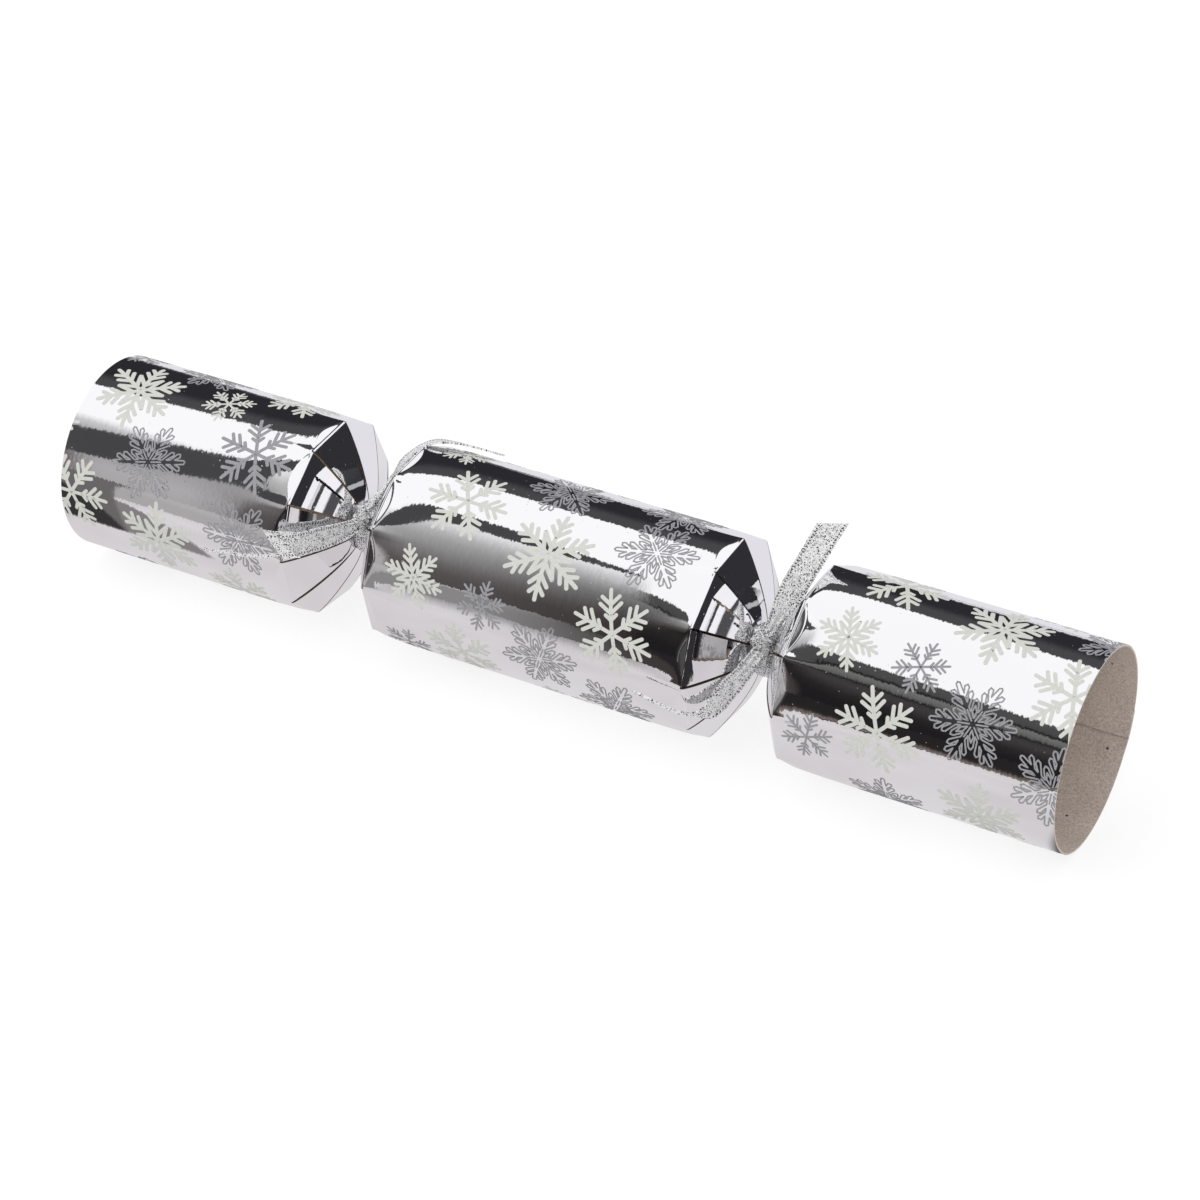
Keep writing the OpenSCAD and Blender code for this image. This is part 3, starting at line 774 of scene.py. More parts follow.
@dataclass(frozen=True)
class Studio:
    """Camera, soft light and pale floor, in metres."""

    camera_at: Place = (0.3190, -0.5766, 0.4732)
    yaw: float = -28.50
    pitch: float = 34.47
    lens: float = 104.76
    floor_half: float = 4.0
    floor_z: float = -0.0001
    lamp_at: Place = (-0.6, -0.9, 1.7)
    lamp_size: float = 1.6
    lamp_power: float = 9.0
    fill: Colour = (0.80, 0.80, 0.81)

    def build(self) -> None:
        """Makes the whole studio."""
        self.camera()
        self.world()
        self.lamp()
        self.floor()
        bpy.context.scene.view_settings.view_transform = "Standard"

    def camera(self) -> None:
        """Makes the camera at the photograph's place."""
        data = bpy.data.cameras.new("camera")
        data.lens = self.lens
        data.sensor_width = 36.0
        data.clip_start = 0.01
        data.clip_end = 20.0
        made = link("camera", data)
        made.location = self.camera_at
        made.rotation_euler = (math.radians(90 - self.pitch), 0.0, math.radians(-self.yaw))
        bpy.context.scene.camera = made

    def world(self) -> None:
        """Writes the room that the film mirrors, and the plain light for the rest.

        Heights are angles over the front horizon, with the ceiling at 90 and
        the back horizon at 180. The side is the direction's part along X.
        """
        world = bpy.data.worlds.new("studio")
        bpy.context.scene.world = world
        world.use_nodes = True
        recipe = Recipe(world.node_tree)
        span, blend, times = recipe.span, recipe.blend, recipe.times
        side, front, up = recipe.split(recipe.node("ShaderNodeTexCoord").outputs["Generated"])
        angle = recipe.calc("ARCTAN2", up, times(front, -1.0))
        share = recipe.calc("MULTIPLY_ADD", angle, 1 / math.tau, 0.5)
        height = times(angle, 180 / math.pi)
        tilted = recipe.calc("ADD", share, recipe.calc("MULTIPLY_ADD", side, 0.25, 0.075))
        room = MIDDLE_ROOM.ramp(recipe, share)
        above = recipe.minus(height, FLAG_LOW.height(recipe, side))
        below = recipe.minus(FLAG_HIGH.height(recipe, side), height)
        corner = span(side, -0.26, -0.22, 0.0, 13.0)
        start = recipe.calc("ADD", BACK_START.height(recipe, side), corner)
        past = recipe.minus(height, start)
        haze = blend(span(side, -0.43, -0.405), (0.12, 0.12, 0.14), (0.85, 0.84, 0.88))
        bright = blend(span(height, 20.0, 55.0), (0.5, 0.49, 0.49), (0.97, 0.97, 0.98))
        dim = times(span(side, -0.524, -0.536), span(height, 24.0, 18.0))
        opening = times(
            span(side, -0.80, -0.77), span(side, -0.60, -0.63),
            span(height, 58.0, 62.0), span(height, 95.0, 90.0),
        )
        glint = times(
            span(side, -0.215, -0.2), span(side, -0.125, -0.14), span(height, 153.0, 156.0)
        )
        end = times(span(side, 0.54, 0.60), span(height, 66.0, 74.0))
        for reach, colour in (
            (span(side, -0.375, -0.445), MIDDLE_LEFT_ROOM.ramp(recipe, share)),
            (span(side, -0.39, -0.37), RIGHT_ROOM.ramp(recipe, tilted)),
            (span(side, -0.474, -0.504), LEFT_ROOM.ramp(recipe, share)),
            (span(recipe.calc("MINIMUM", above, below), 0.0, 1.0), (0.062, 0.062, 0.065)),
            (span(past, 0.0, 1.2), (0.066, 0.066, 0.07)),
            (span(past, 10.0, 24.0), (0.024, 0.024, 0.029)),
            (span(height, 174.0, 179.0), haze),
            (dim, (0.10, 0.075, 0.072)),
            (span(side, -0.57, -0.62), bright),
            (opening, (0.085, 0.085, 0.09)),
            (glint, (0.5, 0.5, 0.51)),
            (end, (0.03, 0.03, 0.034)),
        ):
            room = blend(reach, room, colour)
        path = recipe.node("ShaderNodeLightPath").outputs
        colour = blend(path["Is Glossy Ray"], self.fill, room)
        colour = blend(path["Is Camera Ray"], colour, (1.0, 1.0, 1.0))
        sky = recipe.node("ShaderNodeBackground", {"Color": colour})
        recipe.node("ShaderNodeOutputWorld", {"Surface": sky.outputs[0]})

    def lamp(self) -> None:
        """Hangs one wide soft light over the front left."""
        data = bpy.data.lights.new("soft light", "AREA")
        data.shape = "SQUARE"
        data.size = self.lamp_size
        data.energy = self.lamp_power
        made = link("soft light", data)
        made.location = self.lamp_at
        made.rotation_euler = Vector(self.lamp_at).to_track_quat("Z", "Y").to_euler()
        made.visible_glossy = False
        made.visible_camera = False

    def floor(self) -> None:
        """Lays the floor."""
        half, draft = self.floor_half, Draft()
        corners = ((-half, -half), (half, -half), (half, half), (-half, half))
        draft.face(draft.ring([Vector((x, y, self.floor_z)) for x, y in corners]))
        draft.piece("floor", [FloorPaper("floor paper with painted glow").material()])


@dataclass(frozen=True)
class FloorPaper(Finish):
    """Paper on the floor: white to the camera, and to mirrored rays a painted glow with dark
    beyond it.
    """

    seen: float = 0.80
    shadowed: float = 0.27
    grain: Pair = (0.84, 0.86)

    def mirrored(self, recipe: Recipe) -> Socket:
        """Writes the painted glow of a table that the film mirrors, paler behind than in front,
        with painted shade near the cracker.

        Args:
            recipe: The floor's nodes.

        Returns:
            The brightness of the floor for mirrored rays.
        """
        span, blend, times = recipe.span, recipe.blend, recipe.times
        across, depth, _ = recipe.split(recipe.place())
        drift = recipe.minus(across, recipe.calc("MULTIPLY_ADD", depth, 0.44, 0.053))
        cloud = span(recipe.noise(recipe.place(), 30.0, 2.0), 0.3, 0.7)
        # Painted shade: the glow near the cracker is greyer than behind it, with a painted grey
        # band towards the table's edge.
        near = blend(cloud, (0.66, 0.63, 0.64), (0.73, 0.71, 0.725))
        grey = span(depth, -0.06, -0.106, 0.0, 0.75)
        grey = times(grey, span(drift, 0.0, -0.02), span(drift, -0.095, -0.08))
        near = blend(grey, near, (0.26, 0.25, 0.255))
        near = blend(span(depth, 0.03, 0.10), near, (0.80, 0.79, 0.83))
        reach = recipe.calc("MULTIPLY_ADD", depth, -2.0, 0.3875)
        # Painted reflection of the room past the table's edge: dark, with painted bands and a
        # paler leaf.
        beyond = blend(span(drift, -0.005, -0.07), (0.05, 0.043, 0.042), (0.26, 0.255, 0.255))
        beyond = blend(span(drift, 0.005, 0.02), beyond, PAINTED_FLOOR_GLOW_BANDS.ramp(recipe, reach))
        leaf = blend(span(depth, -0.2, -0.5), (0.42, 0.405, 0.41), (0.46, 0.445, 0.45))
        beyond = blend(span(drift, -0.105, -0.115), beyond, leaf)
        edge = recipe.minus(recipe.calc("MULTIPLY_ADD", cloud, 0.012, -0.112), depth)
        floor = blend(span(edge, 0.0, 0.0015), near, beyond)
        # Painted dark wedges and a painted dark corner in the glow.
        low, left = span(depth, -0.031, -0.034), span(across, -0.094, -0.098)
        for slope, start, tone in ((1.0, 0.062, 0.24), (1.68, 0.169, 0.15), (1.2, 0.112, 0.04)):
            wedge = recipe.minus(depth, recipe.calc("MULTIPLY_ADD", across, slope, start))
            share = times(span(wedge, 0.0, 0.003), low, left)
            floor = blend(share, floor, (tone, tone * 0.94, tone * 0.95))
        corner = times(span(across, 0.121, 0.125), span(depth, 0.01, -0.01))
        return blend(corner, floor, (0.03, 0.028, 0.03))

    def write(self, recipe: Recipe) -> None:
        """Writes the paper for each kind of ray."""
        path = recipe.node("ShaderNodeLightPath").outputs
        seen, glossy, black = path["Is Camera Ray"], path["Is Glossy Ray"], (0.0,) * 3
        # Only mirrored rays see the painted glow; the camera sees an even white floor with the
        # real shadow.
        glow = recipe.blend(glossy, black, self.mirrored(recipe))
        glow = recipe.blend(seen, glow, (self.seen,) * 3)
        low, high = ((tone,) * 3 for tone in self.grain)
        paper = recipe.blend(recipe.noise(recipe.place(), 900.0), low, high)
        paper = recipe.blend(glossy, paper, black)
        paper = recipe.blend(seen, paper, (self.shadowed,) * 3)
        recipe.surface(
            Base_Color=paper,
            Roughness=1.0,
            Specular_IOR_Level=0.0,
            Emission_Color=glow,
            Emission_Strength=1.0,
        )


@dataclass(frozen=True)
class TailRoute:
    """The line of one ribbon tail, the direction of its width and its shape.

    The shape gives, by place along the tail, the width of a section, its
    slant and its shift across, in millimetres. Two tails fray to a loose
    edge thread.
    """

    name: str
    line: tuple[Place, ...]
    across: tuple[Place, ...]
    shape: tuple[tuple[float, ...], ...]

    def section(self, place: float) -> tuple[float, ...]:
        """Width, slant and shift at a place along the tail.

        Args:
            place: The place, in millimetres.

        Returns:
            All three, in millimetres.
        """
        for (a, *first), (b, *last) in zip(self.shape, self.shape[1:]):
            if place <= b:
                share = (place - a) / (b - a)
                return tuple(lerp(x, y, share) for x, y in zip(first, last))
        return self.shape[-1][1:]


LEFT_FRONT = TailRoute(
    "left_front_tail",
    (
        (-54, -7.2, 29), (-55, -9, 28.6), (-56.5, -11.6, 28.3), (-58, -14.2, 28.2),
        (-59.5, -18, 28.8), (-61, -21.8, 29.6), (-62.6, -24.4, 30.2), (-64.6, -25.6, 30.0),
        (-66.2, -26.1, 28.6), (-67.2, -26.4, 27.3), (-69.2, -26.6, 26.7), (-72.4, -26.8, 26),
        (-76.5, -26.9, 25.2), (-80.5, -27, 24.5), (-84, -27, 24),
    ),
    (
        (0.2, 0.3, 1), *((0.1, 0.3, 1),) * 3, (0, 0.2, 1), (0, 0.1, 1), (-0.1, 0.1, 1),
        (-0.2, 0.1, 1), *((-0.3, 0.1, 1),) * 7,
    ),
    (
        (0, 3.2, 0, 0), (6, 5.2, 0, 0), (10, 6, 0, 0), (16, 6, 0, 0), (20.6, 7.2, 4, 0.5),
        (21.6, 0.9, 0, -2.7), (24, 0.8, 0, -1.3), (26, 0.8, 0, -0.2), (43.3, 0.6, 0, 0),
    ),
)
LEFT_BACK = TailRoute(
    "left_back_tail",
    (
        (-53.5, -4.5, 31.5), (-52.4, -2.5, 33.2), (-51.1, -0.5, 35.3), (-49.7, 1.5, 38),
        (-48, 3.6, 41.4), (-45.4, 6.1, 44.5), (-42, 8.7, 46.2), (-38, 11.6, 45.5),
        (-34.5, 14.1, 44), (-31, 16.5, 42.3),
    ),
    (
        (0.8, -0.6, 0), (0.7, -0.7, 0), (0.5, -0.8, 0), (0.4, -0.9, 0), (0.4, -0.9, 0),
        (0.3, -0.9, 0.2), (0.3, -0.9, 0.4), (0.3, -0.9, 0.5), (0.3, -0.8, 0.6),
        (0.3, -0.8, 0.6),
    ),
    (
        (0, 2.4, 0, 0), (5, 3.0, 0, 0), (9, 4.6, 0, 0), (13, 6, 0, 0), (30, 6, 0, 0),
        (37.5, 6, 1.8, 0),
    ),
)
RIGHT_FRONT = TailRoute(
    "right_front_tail",
    (
        (50, -7.5, 28), (49.4, -9.3, 26.6), (48.4, -11, 24.6), (46.8, -12.6, 22),
        (45.7, -14.2, 20.2), (45, -16.2, 18.9), (44, -18.6, 17.8), (42.6, -21.2, 17.6),
        (40.8, -23.6, 18.2), (38.8, -25.2, 19.1), (36.4, -26.2, 20.2), (33, -26.8, 21.3),
        (28.7, -27, 22.2),
    ),
    (
        (0.8, 0.2, -0.5), (0.6, 0.4, -0.7), *((0.4, 0.5, -0.8),) * 4, (0.35, 0.4, -0.8),
        (0.2, 0.3, -0.9), *((0.1, 0.2, -1),) * 5,
    ),
    (
        (0, 3.2, 0, 0), (6, 5.0, 0, 0), (10, 6, 0, 0), (14, 6, 0, 0), (17, 4.6, 0, 0.5),
        (20, 1.7, 0, 0.3), (21.5, 0.8, 0, 0.2), (37, 0.6, 0, 0),
    ),
)
RIGHT_UPPER = TailRoute(
    "right_upper_tail",
    (
        (50.2, -7, 23), (50.4, -7.2, 26), (50.6, -6.6, 29), (51.1, -5, 32),
        (52, -3.5, 34.8), (53, -2, 37.7), (54, 0, 41), (55.2, 2, 44.5),
        (56.5, 4.4, 48), (57.7, 6.6, 51.5), (59, 9, 55),
    ),
    (
        *((1, 0, 0),) * 3, (1, 0.2, -0.1), (0.9, 0.2, -0.2), (0.9, 0.2, -0.3),
        *((0.9, 0.2, -0.4),) * 5,
    ),
    (
        (0, 2.6, 0, 0), (8, 3.0, 0, 0), (12.8, 3.5, 0, 0), (16.2, 4.9, 0, 0),
        (20.3, 5.9, 0, 0), (30, 6, 0, 0), (37.6, 6, 1.8, 0),
    ),
)


def glide(points: Sequence[Vector], at: float) -> Vector:
    """A place on the smooth curve through some points.

    Args:
        points: The points.
        at: The place, counted in points from the first.

    Returns:
        The place.
    """
    last = len(points) - 1
    k = min(int(at), last - 1)
    t = at - k
    a, b = points[max(k - 1, 0)], points[k]
    c, d = points[k + 1], points[min(k + 2, last)]
    return (
        b * 2
        + (c - a) * t
        + (a * 2 - b * 5 + c * 4 - d) * t**2
        + (b * 3 - a - c * 3 + d) * t**3
    ) / 2


@dataclass
class RibbonTail:
    """One free end of the ribbon, woven flat, with a slanting cut."""

    route: TailRoute
    seed: int
    width: float = 6.0
    thick: float = 0.3
    thread: float = 0.44
    pinched: float = 15.0
    gather: float = 0.75
    selvedge: float = 0.06
    cup: float = 0.12
    sway: float = 0.05
    steps: int = 90
    columns: int = 10
    fine: int = 40

    def rings(self) -> tuple[list[Ring], Ring, list[float], list[list[Pair]]]:
        """The sections of the tail.

        Returns:
            The rings, their centres, their places along the tail and the
            places of their points on the UV map.
        """
        line = [Vector(p) for p in self.route.line]
        across = [Vector(p) for p in self.route.across]
        last = len(line) - 1
        fine = [glide(line, k / self.fine) for k in range(last * self.fine + 1)]
        gone = [0.0]
        for a, b in zip(fine, fine[1:]):
            gone.append(gone[-1] + (b - a).length)
        places = {gone[-1] * n / self.steps for n in range(self.steps + 1)}
        places |= {p for p, *_ in self.route.shape if p < gone[-1] - 0.1}
        shares = [1 - 2 * j / self.columns for j in range(self.columns + 1)]
        around = [(1, s) for s in shares] + [(-1, s) for s in shares[::-1]]
        turn = random.Random(self.seed)
        waves = [(turn.uniform(0.6, 1.4), turn.uniform(0, 6.28)) for _ in range(3)]
        rings, centres, run, lay = [], [], [], []
        for place in sorted(places):
            k = max(n for n in range(len(gone) - 1) if gone[n] <= place)
            at = (k + (place - gone[k]) / (gone[k + 1] - gone[k])) / self.fine
            here = glide(line, at)
            ahead = glide(line, min(at + 0.05, last)) - glide(line, max(at - 0.05, 0))
            heading = ahead.normalized()
            wide = glide(across, at)
            wide = (wide - heading * wide.dot(heading)).normalized()
            up = heading.cross(wide)
            sway = sum(math.sin(place * w * 0.5 + p) for w, p in waves) * self.sway
            broad, slant, shift = self.route.section(place)
            half, full = broad / 2, min(1.0, broad / self.width)
            near = place < self.pinched
            gather = self.gather * (1 - full) if near else 0.0
            cup = self.cup * full * math.sin(place * 0.25 + self.seed)
            points, spots = [], []
            for side, share in around:
                edge = abs(share) ** 8 * self.selvedge * full
                lift = side * (lerp(self.thread, self.thick, full) / 2 + edge)
                lift += sway * share * full + cup * (share * share - 0.4)
                lift += gather * math.cos(math.pi * 2.6 * share + 0.25 * place + self.seed)
                lean = heading * slant * share + wide * (share * half + shift)
                points.append((here + up * lift + lean) * MM)
                wove = share * self.width / 2 if near else share * half + shift
                spots.append(((place + slant * share) * MM, wove * MM))
            rings.append(points)
            centres.append(here * MM)
            run.append(place * MM)
            lay.append([*spots, spots[0]])
        return rings, centres, run, lay

    def build(self) -> Piece:
        """Returns:
            The tail.
        """
        rings, centres, run, lay = self.rings()
        draft = Draft()
        draft.tube(rings, run, run, lay=lay)
        made = draft.piece(f"{self.route.name}_ribbon", [WOVEN.material()], 50)
        settle(made, self.route.name, "lurex_ribbon")
        return made


@dataclass
class GatheredTurns:
    """The ribbon's two gathered turns round a neck."""

    name: str
    x: float
    seed: int
    inner: float = 5.62
    outer: float = 6.3
    half: float = 2.35
    weave: float = 3.0
    rim: float = 0.2
    valley: Pair = (0.45, 0.16)
    ripple: float = 0.06
    drift: float = 0.12
    folds: int = 7
    around: int = 88
    across: int = 28

    def build(self) -> Piece:
        """Makes the turns, folded along the way they run.

        Returns:
            The turns.
        """
        phase = phases(random.Random(self.seed))
        shares = [-1 + 2 * j / self.across for j in range(self.across + 1)]
        depth, width = self.valley
        rings = []
        for n in range(self.around):
            a = math.tau * n / self.around
            points = []
            for u in shares:
                crown = (1 - abs(u) ** 3) * (1 - depth * math.exp(-((u / width) ** 2)))
                fold = math.cos(self.folds * math.pi * (u + 0.05 * math.sin(3 * a + phase[0])))
                pinch = 0.5 + 0.5 * math.sin(5 * a + phase[1] + 2 * u)
                rise = (self.outer - self.inner - self.rim) * crown * (0.78 + 0.22 * fold * pinch)
                wave = self.ripple * math.sin(9 * a + phase[2] + 4 * u)
                radius = self.inner + self.rim + rise + wave
                lean = self.drift * math.sin(2 * a + phase[3])
                points.append(polar(self.x + u * self.half + lean, radius, a))
            for u in (0.8, -0.8):
                points.append(polar(self.x + u * self.half, self.inner, a))
            rings.append(points)
        run = [self.outer * MM * math.tau * n / self.around for n in range(self.around + 1)]
        round_ = [u * self.weave * MM for u in shares] + [0.002, -0.002, -self.weave * MM]
        draft = Draft()
        draft.tube(rings, run, round_, closed_run=True)
        made = draft.piece(f"{self.name}_turns", [KNOTTED_WEAVE_SHADED.material()], 60)
        return settle(made, self.name, "lurex_ribbon")


@dataclass
class Knot:
    """A half-tied knot: folded ribbon under one pulled wrap."""

    name: str
    x: float
    along: Place
    seed: int
    angle: float = 52.0
    seat: float = 8.65
    length: float = 6.4
    width: float = 5.2
    height: float = 4.6
    weave: float = 3.0
    rounds: int = 44
    rows: int = 22

    def frame(self) -> tuple[Vector, Vector, Vector, Vector]:
        """The knot's centre and directions.

        Returns:
            Centre in millimetres, then the directions along, across and up.
        """
        a = math.radians(self.angle)
        up = Vector((0, -math.cos(a), math.sin(a)))
        along = Vector(self.along)
        along = (along - up * along.dot(up)).normalized()
        centre = Vector((self.x, 0, SHEET.axis_z)) + up * self.seat
        return centre, along, up.cross(along), up

    def swept(
        self,
        draft: Draft,
        axes: tuple[Vector, Vector, Vector],
        centre: Vector,
        sizes: Place,
        folds: int,
        turn: random.Random,
    ) -> None:
        """Adds one folded bundle.

        Args:
            draft: The mesh in the making.
            axes: Directions along, across and up.
            centre: The bundle's middle.
            sizes: Its length, width and height.
            folds: The number of its folds.
            turn: The source of its unevenness.
        """
        along, side, up = axes
        length, width, height = sizes
        phase = phases(turn)
        rings, run = [], []
        for j in range(self.rows + 1):
            v = -1 + 2 * j / self.rows
            girth = (1 - abs(v) ** 3.2) ** 0.5 * 0.82 + 0.18
            bend = 0.25 * math.sin(2.2 * v + phase[0])
            ring = []
            for n in range(self.rounds):
                t = math.tau * n / self.rounds
                fold = math.cos(folds * t + 1.6 * v + phase[1])
                lump = 0.05 * math.sin(3 * t + 4 * v + phase[2])
                twist = 0.05 * math.sin(11 * t - 7 * v + phase[3]) * math.sin(5 * v + phase[0])
                g = girth * (0.87 + 0.13 * fold + lump + twist)
                ring.append((
                    centre
                    + along * v * length / 2
                    + side * (g * width / 2 * math.cos(t) + bend)
                    + up * g * height / 2 * math.sin(t)
                ) * MM)
            rings.append(ring)
            run.append(v * length / 2 * MM)
        turns = [n * folds / 2 / self.rounds % 1 for n in range(self.rounds + 1)]
        round_ = [(2 * share - 1) * self.weave * MM for share in turns]
        draft.tube(rings, run, round_)

    def build(self) -> Piece:
        """Makes the knot.

        Returns:
            The knot.
        """
        turn = random.Random(self.seed)
        centre, along, side, up = self.frame()
        draft = Draft()
        sizes = (self.length, self.width * 0.86, self.height * 0.86)
        self.swept(draft, (along, side, up), centre, sizes, 6, turn)
        tilt = (side + along * 0.35).normalized()
        sizes = (self.width * 1.06, self.length * 0.52, self.height)
        self.swept(draft, (tilt, up.cross(tilt) * -1, up), centre + up * 0.25, sizes, 5, turn)
        made = draft.piece(f"{self.name}_tied", [KNOTTED_WEAVE_SHADED.material()], 60)
        return settle(made, self.name, "lurex_ribbon")


class End(Enum):
    """How a length of the rolled board ends."""

    RIM = "rim"
    THROAT = "throat"


class Side(Enum):
    """The finish of a face of the board, as the number of its mark."""

    FOIL = 0
    INSIDE = 1
    CUT = 2


@dataclass(frozen=True)
class PetalLine:
    """The line of a petal from the shoulder's fold to the neck."""

    corner: Pair = (11.0, 23.83)
    pull: Pair = (9.1, 21.4)
    flare: Pair = (2.75, 10.6)
    neck: Pair = (2.4, 5.45)
    end_u: float = 0.15
    fold_r: float = 0.7
    fold_steps: int = 5
    steps: int = 34

    def points(self) -> Ring:
        """The line as pairs of distance from the neck's middle and radius.

        Returns:
            The points, from the fold's start to the end under the ribbon.
        """
        p0, p1 = Vector(self.corner), Vector(self.pull)
        turn = math.acos(-(p1 - p0).normalized().x)
        centre = p0 + Vector((self.fold_r * math.tan(turn / 2), 0)) - Vector((0, self.fold_r))
        line = []
        for k in range(self.fold_steps + 1):
            a = turn * k / self.fold_steps
            line.append(centre + Vector((-math.sin(a), math.cos(a))) * self.fold_r)
        b0, b2, b3 = line[-1], Vector(self.flare), Vector(self.neck)
        for k in range(1, self.steps + 1):
            t = k / self.steps
            s = 1 - t
            line.append(b0 * s**3 + p1 * 3 * t * s**2 + b2 * 3 * t * t * s + b3 * t**3)
        line.append(Vector((lerp(self.neck[0], self.end_u, 0.5), self.neck[1])))
        line.append(Vector((self.end_u, self.neck[1])))
        return line


@dataclass
class CardShell:
    """A length of the rolled board with its folded throats."""

    name: str
    body: str
    low: tuple[float, End]
    high: tuple[float, End]
    seed: int
    columns: int = 16
    crease_rows: int = 12
    leaf_rows: int = 12
    leaf_step: float = 0.25
    leaf_slope: float = 0.3
    leaf_soft: float = 0.05
    flatten: float = 0.4
    fade: float = 3.4
    lap_fade: float = 3.0
    rim_step: float = 0.3
    tube_step: float = 4.0
    slit_w: float = 0.6
    bulge: float = 0.22
    bulge_end: float = 0.93

    def __post_init__(self) -> None:
        """Works out the columns round the tube and the rows along it."""
        self.profile = PetalLine().points()
        self.reach = SHEET.crease_start - self.profile[0].x
        self.fractions = [
            [j / self.columns for j in range(self.columns)] for _ in range(SHEET.strips)
        ]
        self.seam_a = SHEET.strip_end(0) - SHEET.slit(0)
        self.inner_step = round(SHEET.lap_a / self.seam_a * self.columns)
        self.fractions[0][self.inner_step] = SHEET.lap_a / self.seam_a
        ramp = (SHEET.lap_a + SHEET.ramp_a) / self.seam_a
        self.fractions[0][round(ramp * self.columns)] = ramp
        self.count = SHEET.strips * self.columns

    def crease(self, neck: float, side: int) -> list[Pair]:
        """Rows of the creased wall, from the shoulder outwards.

        Args:
            neck: The neck's place along X.
            side: 1 if the tube lies on the +X side of the neck.

        Returns:
            Pairs of place along X and distance from the fold.
        """
        gaps = [self.leaf_step * k for k in range(self.leaf_rows)]
        leaf, rows = gaps[-1], self.crease_rows
        gaps += [leaf + (self.reach - leaf) * (k / rows) for k in range(1, rows + 1)]
        return [(neck + side * (self.profile[0].x + gap), gap) for gap in gaps]

    def rows(self) -> list[Pair]:
        """All rows of the wall from low to high X.

        Returns:
            Pairs of place along X and distance from the nearer fold.
        """
        far, low, high = SHEET.crease_start, self.low[0], self.high[0]
        start = [(low, far), (low + self.rim_step, far)]
        if self.low[1] is End.THROAT:
            start = self.crease(low, 1)
        stop = [(high - self.rim_step, far), (high, far)]
        if self.high[1] is End.THROAT:
            stop = self.crease(high, -1)[::-1]
        x0, x1 = start[-1][0], stop[0][0]
        count = max(2, round((x1 - x0) / self.tube_step))
        return start + [(lerp(x0, x1, k / count), far) for k in range(1, count)] + stop

    def creased(self, gap: float, off: float, half: float) -> float:
        """Radius of the wall near a fold: the tube, slowly flattened, and a bent leaf.

        Args:
            gap: Distance from the fold.
            off: Angle from the strip's middle.
            half: Half of the strip's angle.

        Returns:
            The radius, in millimetres.
        """
        flat = SHEET.shoulder_r * math.cos(half)
        near = max(0.0, 1 - gap / self.reach)
        chord = flat / math.cos(off)
        share = self.flatten if chord < SHEET.tube_r else 1.0
        slow = lerp(SHEET.tube_r, chord, share * near**self.fade)
        leaf = (flat + gap * self.leaf_slope) / math.cos(off)
        return (slow + leaf - math.hypot(slow - leaf, self.leaf_soft)) / 2

    def wall(self, x: float, gap: float, column: int, inner: bool, lift: float) -> Vector:
        """A point of the wall.

        Args:
            x: Place along X.
            gap: Distance from the nearer fold.
            column: Number of the column.
            inner: Whether the point is on the inside.
            lift: Share of the lap's rise.

        Returns:
            The point.
        """
        strip, step = divmod(column % self.count, self.columns)
        half = SHEET.half(strip)
        off = half * (2 * self.fractions[strip][step] - 1)
        radius = self.creased(gap, off, half)
        radius += lift * SHEET.board * min(1.0, gap / self.lap_fade)
        if inner:
            radius -= SHEET.board
        return polar(x, radius, SHEET.middle(strip) + off)

    def rise(self, column: int, inner: bool) -> float:
        """Share of the lap's rise at a column.

        Args:
            column: Number of the column.
            inner: Whether it is asked for the inside.

        Returns:
            The share, from 0 to 1.
        """
        strip, step = divmod(column % self.count, self.columns)
        if strip or (inner and step < self.inner_step):
            return 0.0
        gone = self.fractions[0][step] * self.seam_a
        return max(0.0, min(1.0, 1 - (gone - SHEET.lap_a) / SHEET.ramp_a))

    def wall_faces(self, draft: Draft) -> tuple[list[list[int]], list[list[int]]]:
        """Adds the wall, with the steps of its lap.

        Args:
            draft: The mesh in the making.

        Returns:
            The numbers of the outside rings and of the inside rings. An
            outside ring ends in the low point of the seam, and an inside
            ring ends in the low point of the inner step.
        """
        step = self.inner_step
        outer, inner = [], []
        for x, gap in self.rows():
            for rings, inside, end in ((outer, False, 0), (inner, True, step)):
                ring = [
                    self.wall(x, gap, c, inside, self.rise(c, inside)) for c in range(self.count)
                ]
                rings.append(draft.ring([*ring, self.wall(x, gap, end, inside, 0.0)]))
        for a, b in zip(outer, outer[1:]):
            for c in range(self.count):
                draft.face([a[c], b[c], b[c + 1], a[c + 1]], Side.FOIL.value)
            draft.face([a[-1], b[-1], b[0], a[0]], Side.CUT.value)
        for a, b in zip(inner, inner[1:]):
            for c in range(self.count):
                d = -1 if c + 1 == step else (c + 1) % self.count
                draft.face([a[d], b[d], b[c], a[c]], Side.INSIDE.value)
            draft.face([a[step], b[step], b[-1], a[-1]], Side.CUT.value)
        return outer, inner

    def rim_faces(self, draft: Draft, out: list[int], into: list[int]) -> None:
        """Closes a rim between the outside and the inside.

        Args:
            draft: The mesh in the making.
            out: Numbers of the outside ring.
            into: Numbers of the inside ring.
        """
        step = self.inner_step
        for c in range(self.count):
            corner = [out[c], out[c + 1], into[(c + 1) % self.count], into[c]]
            if c + 1 == step:
                corner = [out[c], out[c + 1], into[step], into[-1], into[c]]
            elif c == 0:
                corner = [out[0], out[1], into[1], into[0], out[-1]]
            draft.face(corner, Side.INSIDE.value)

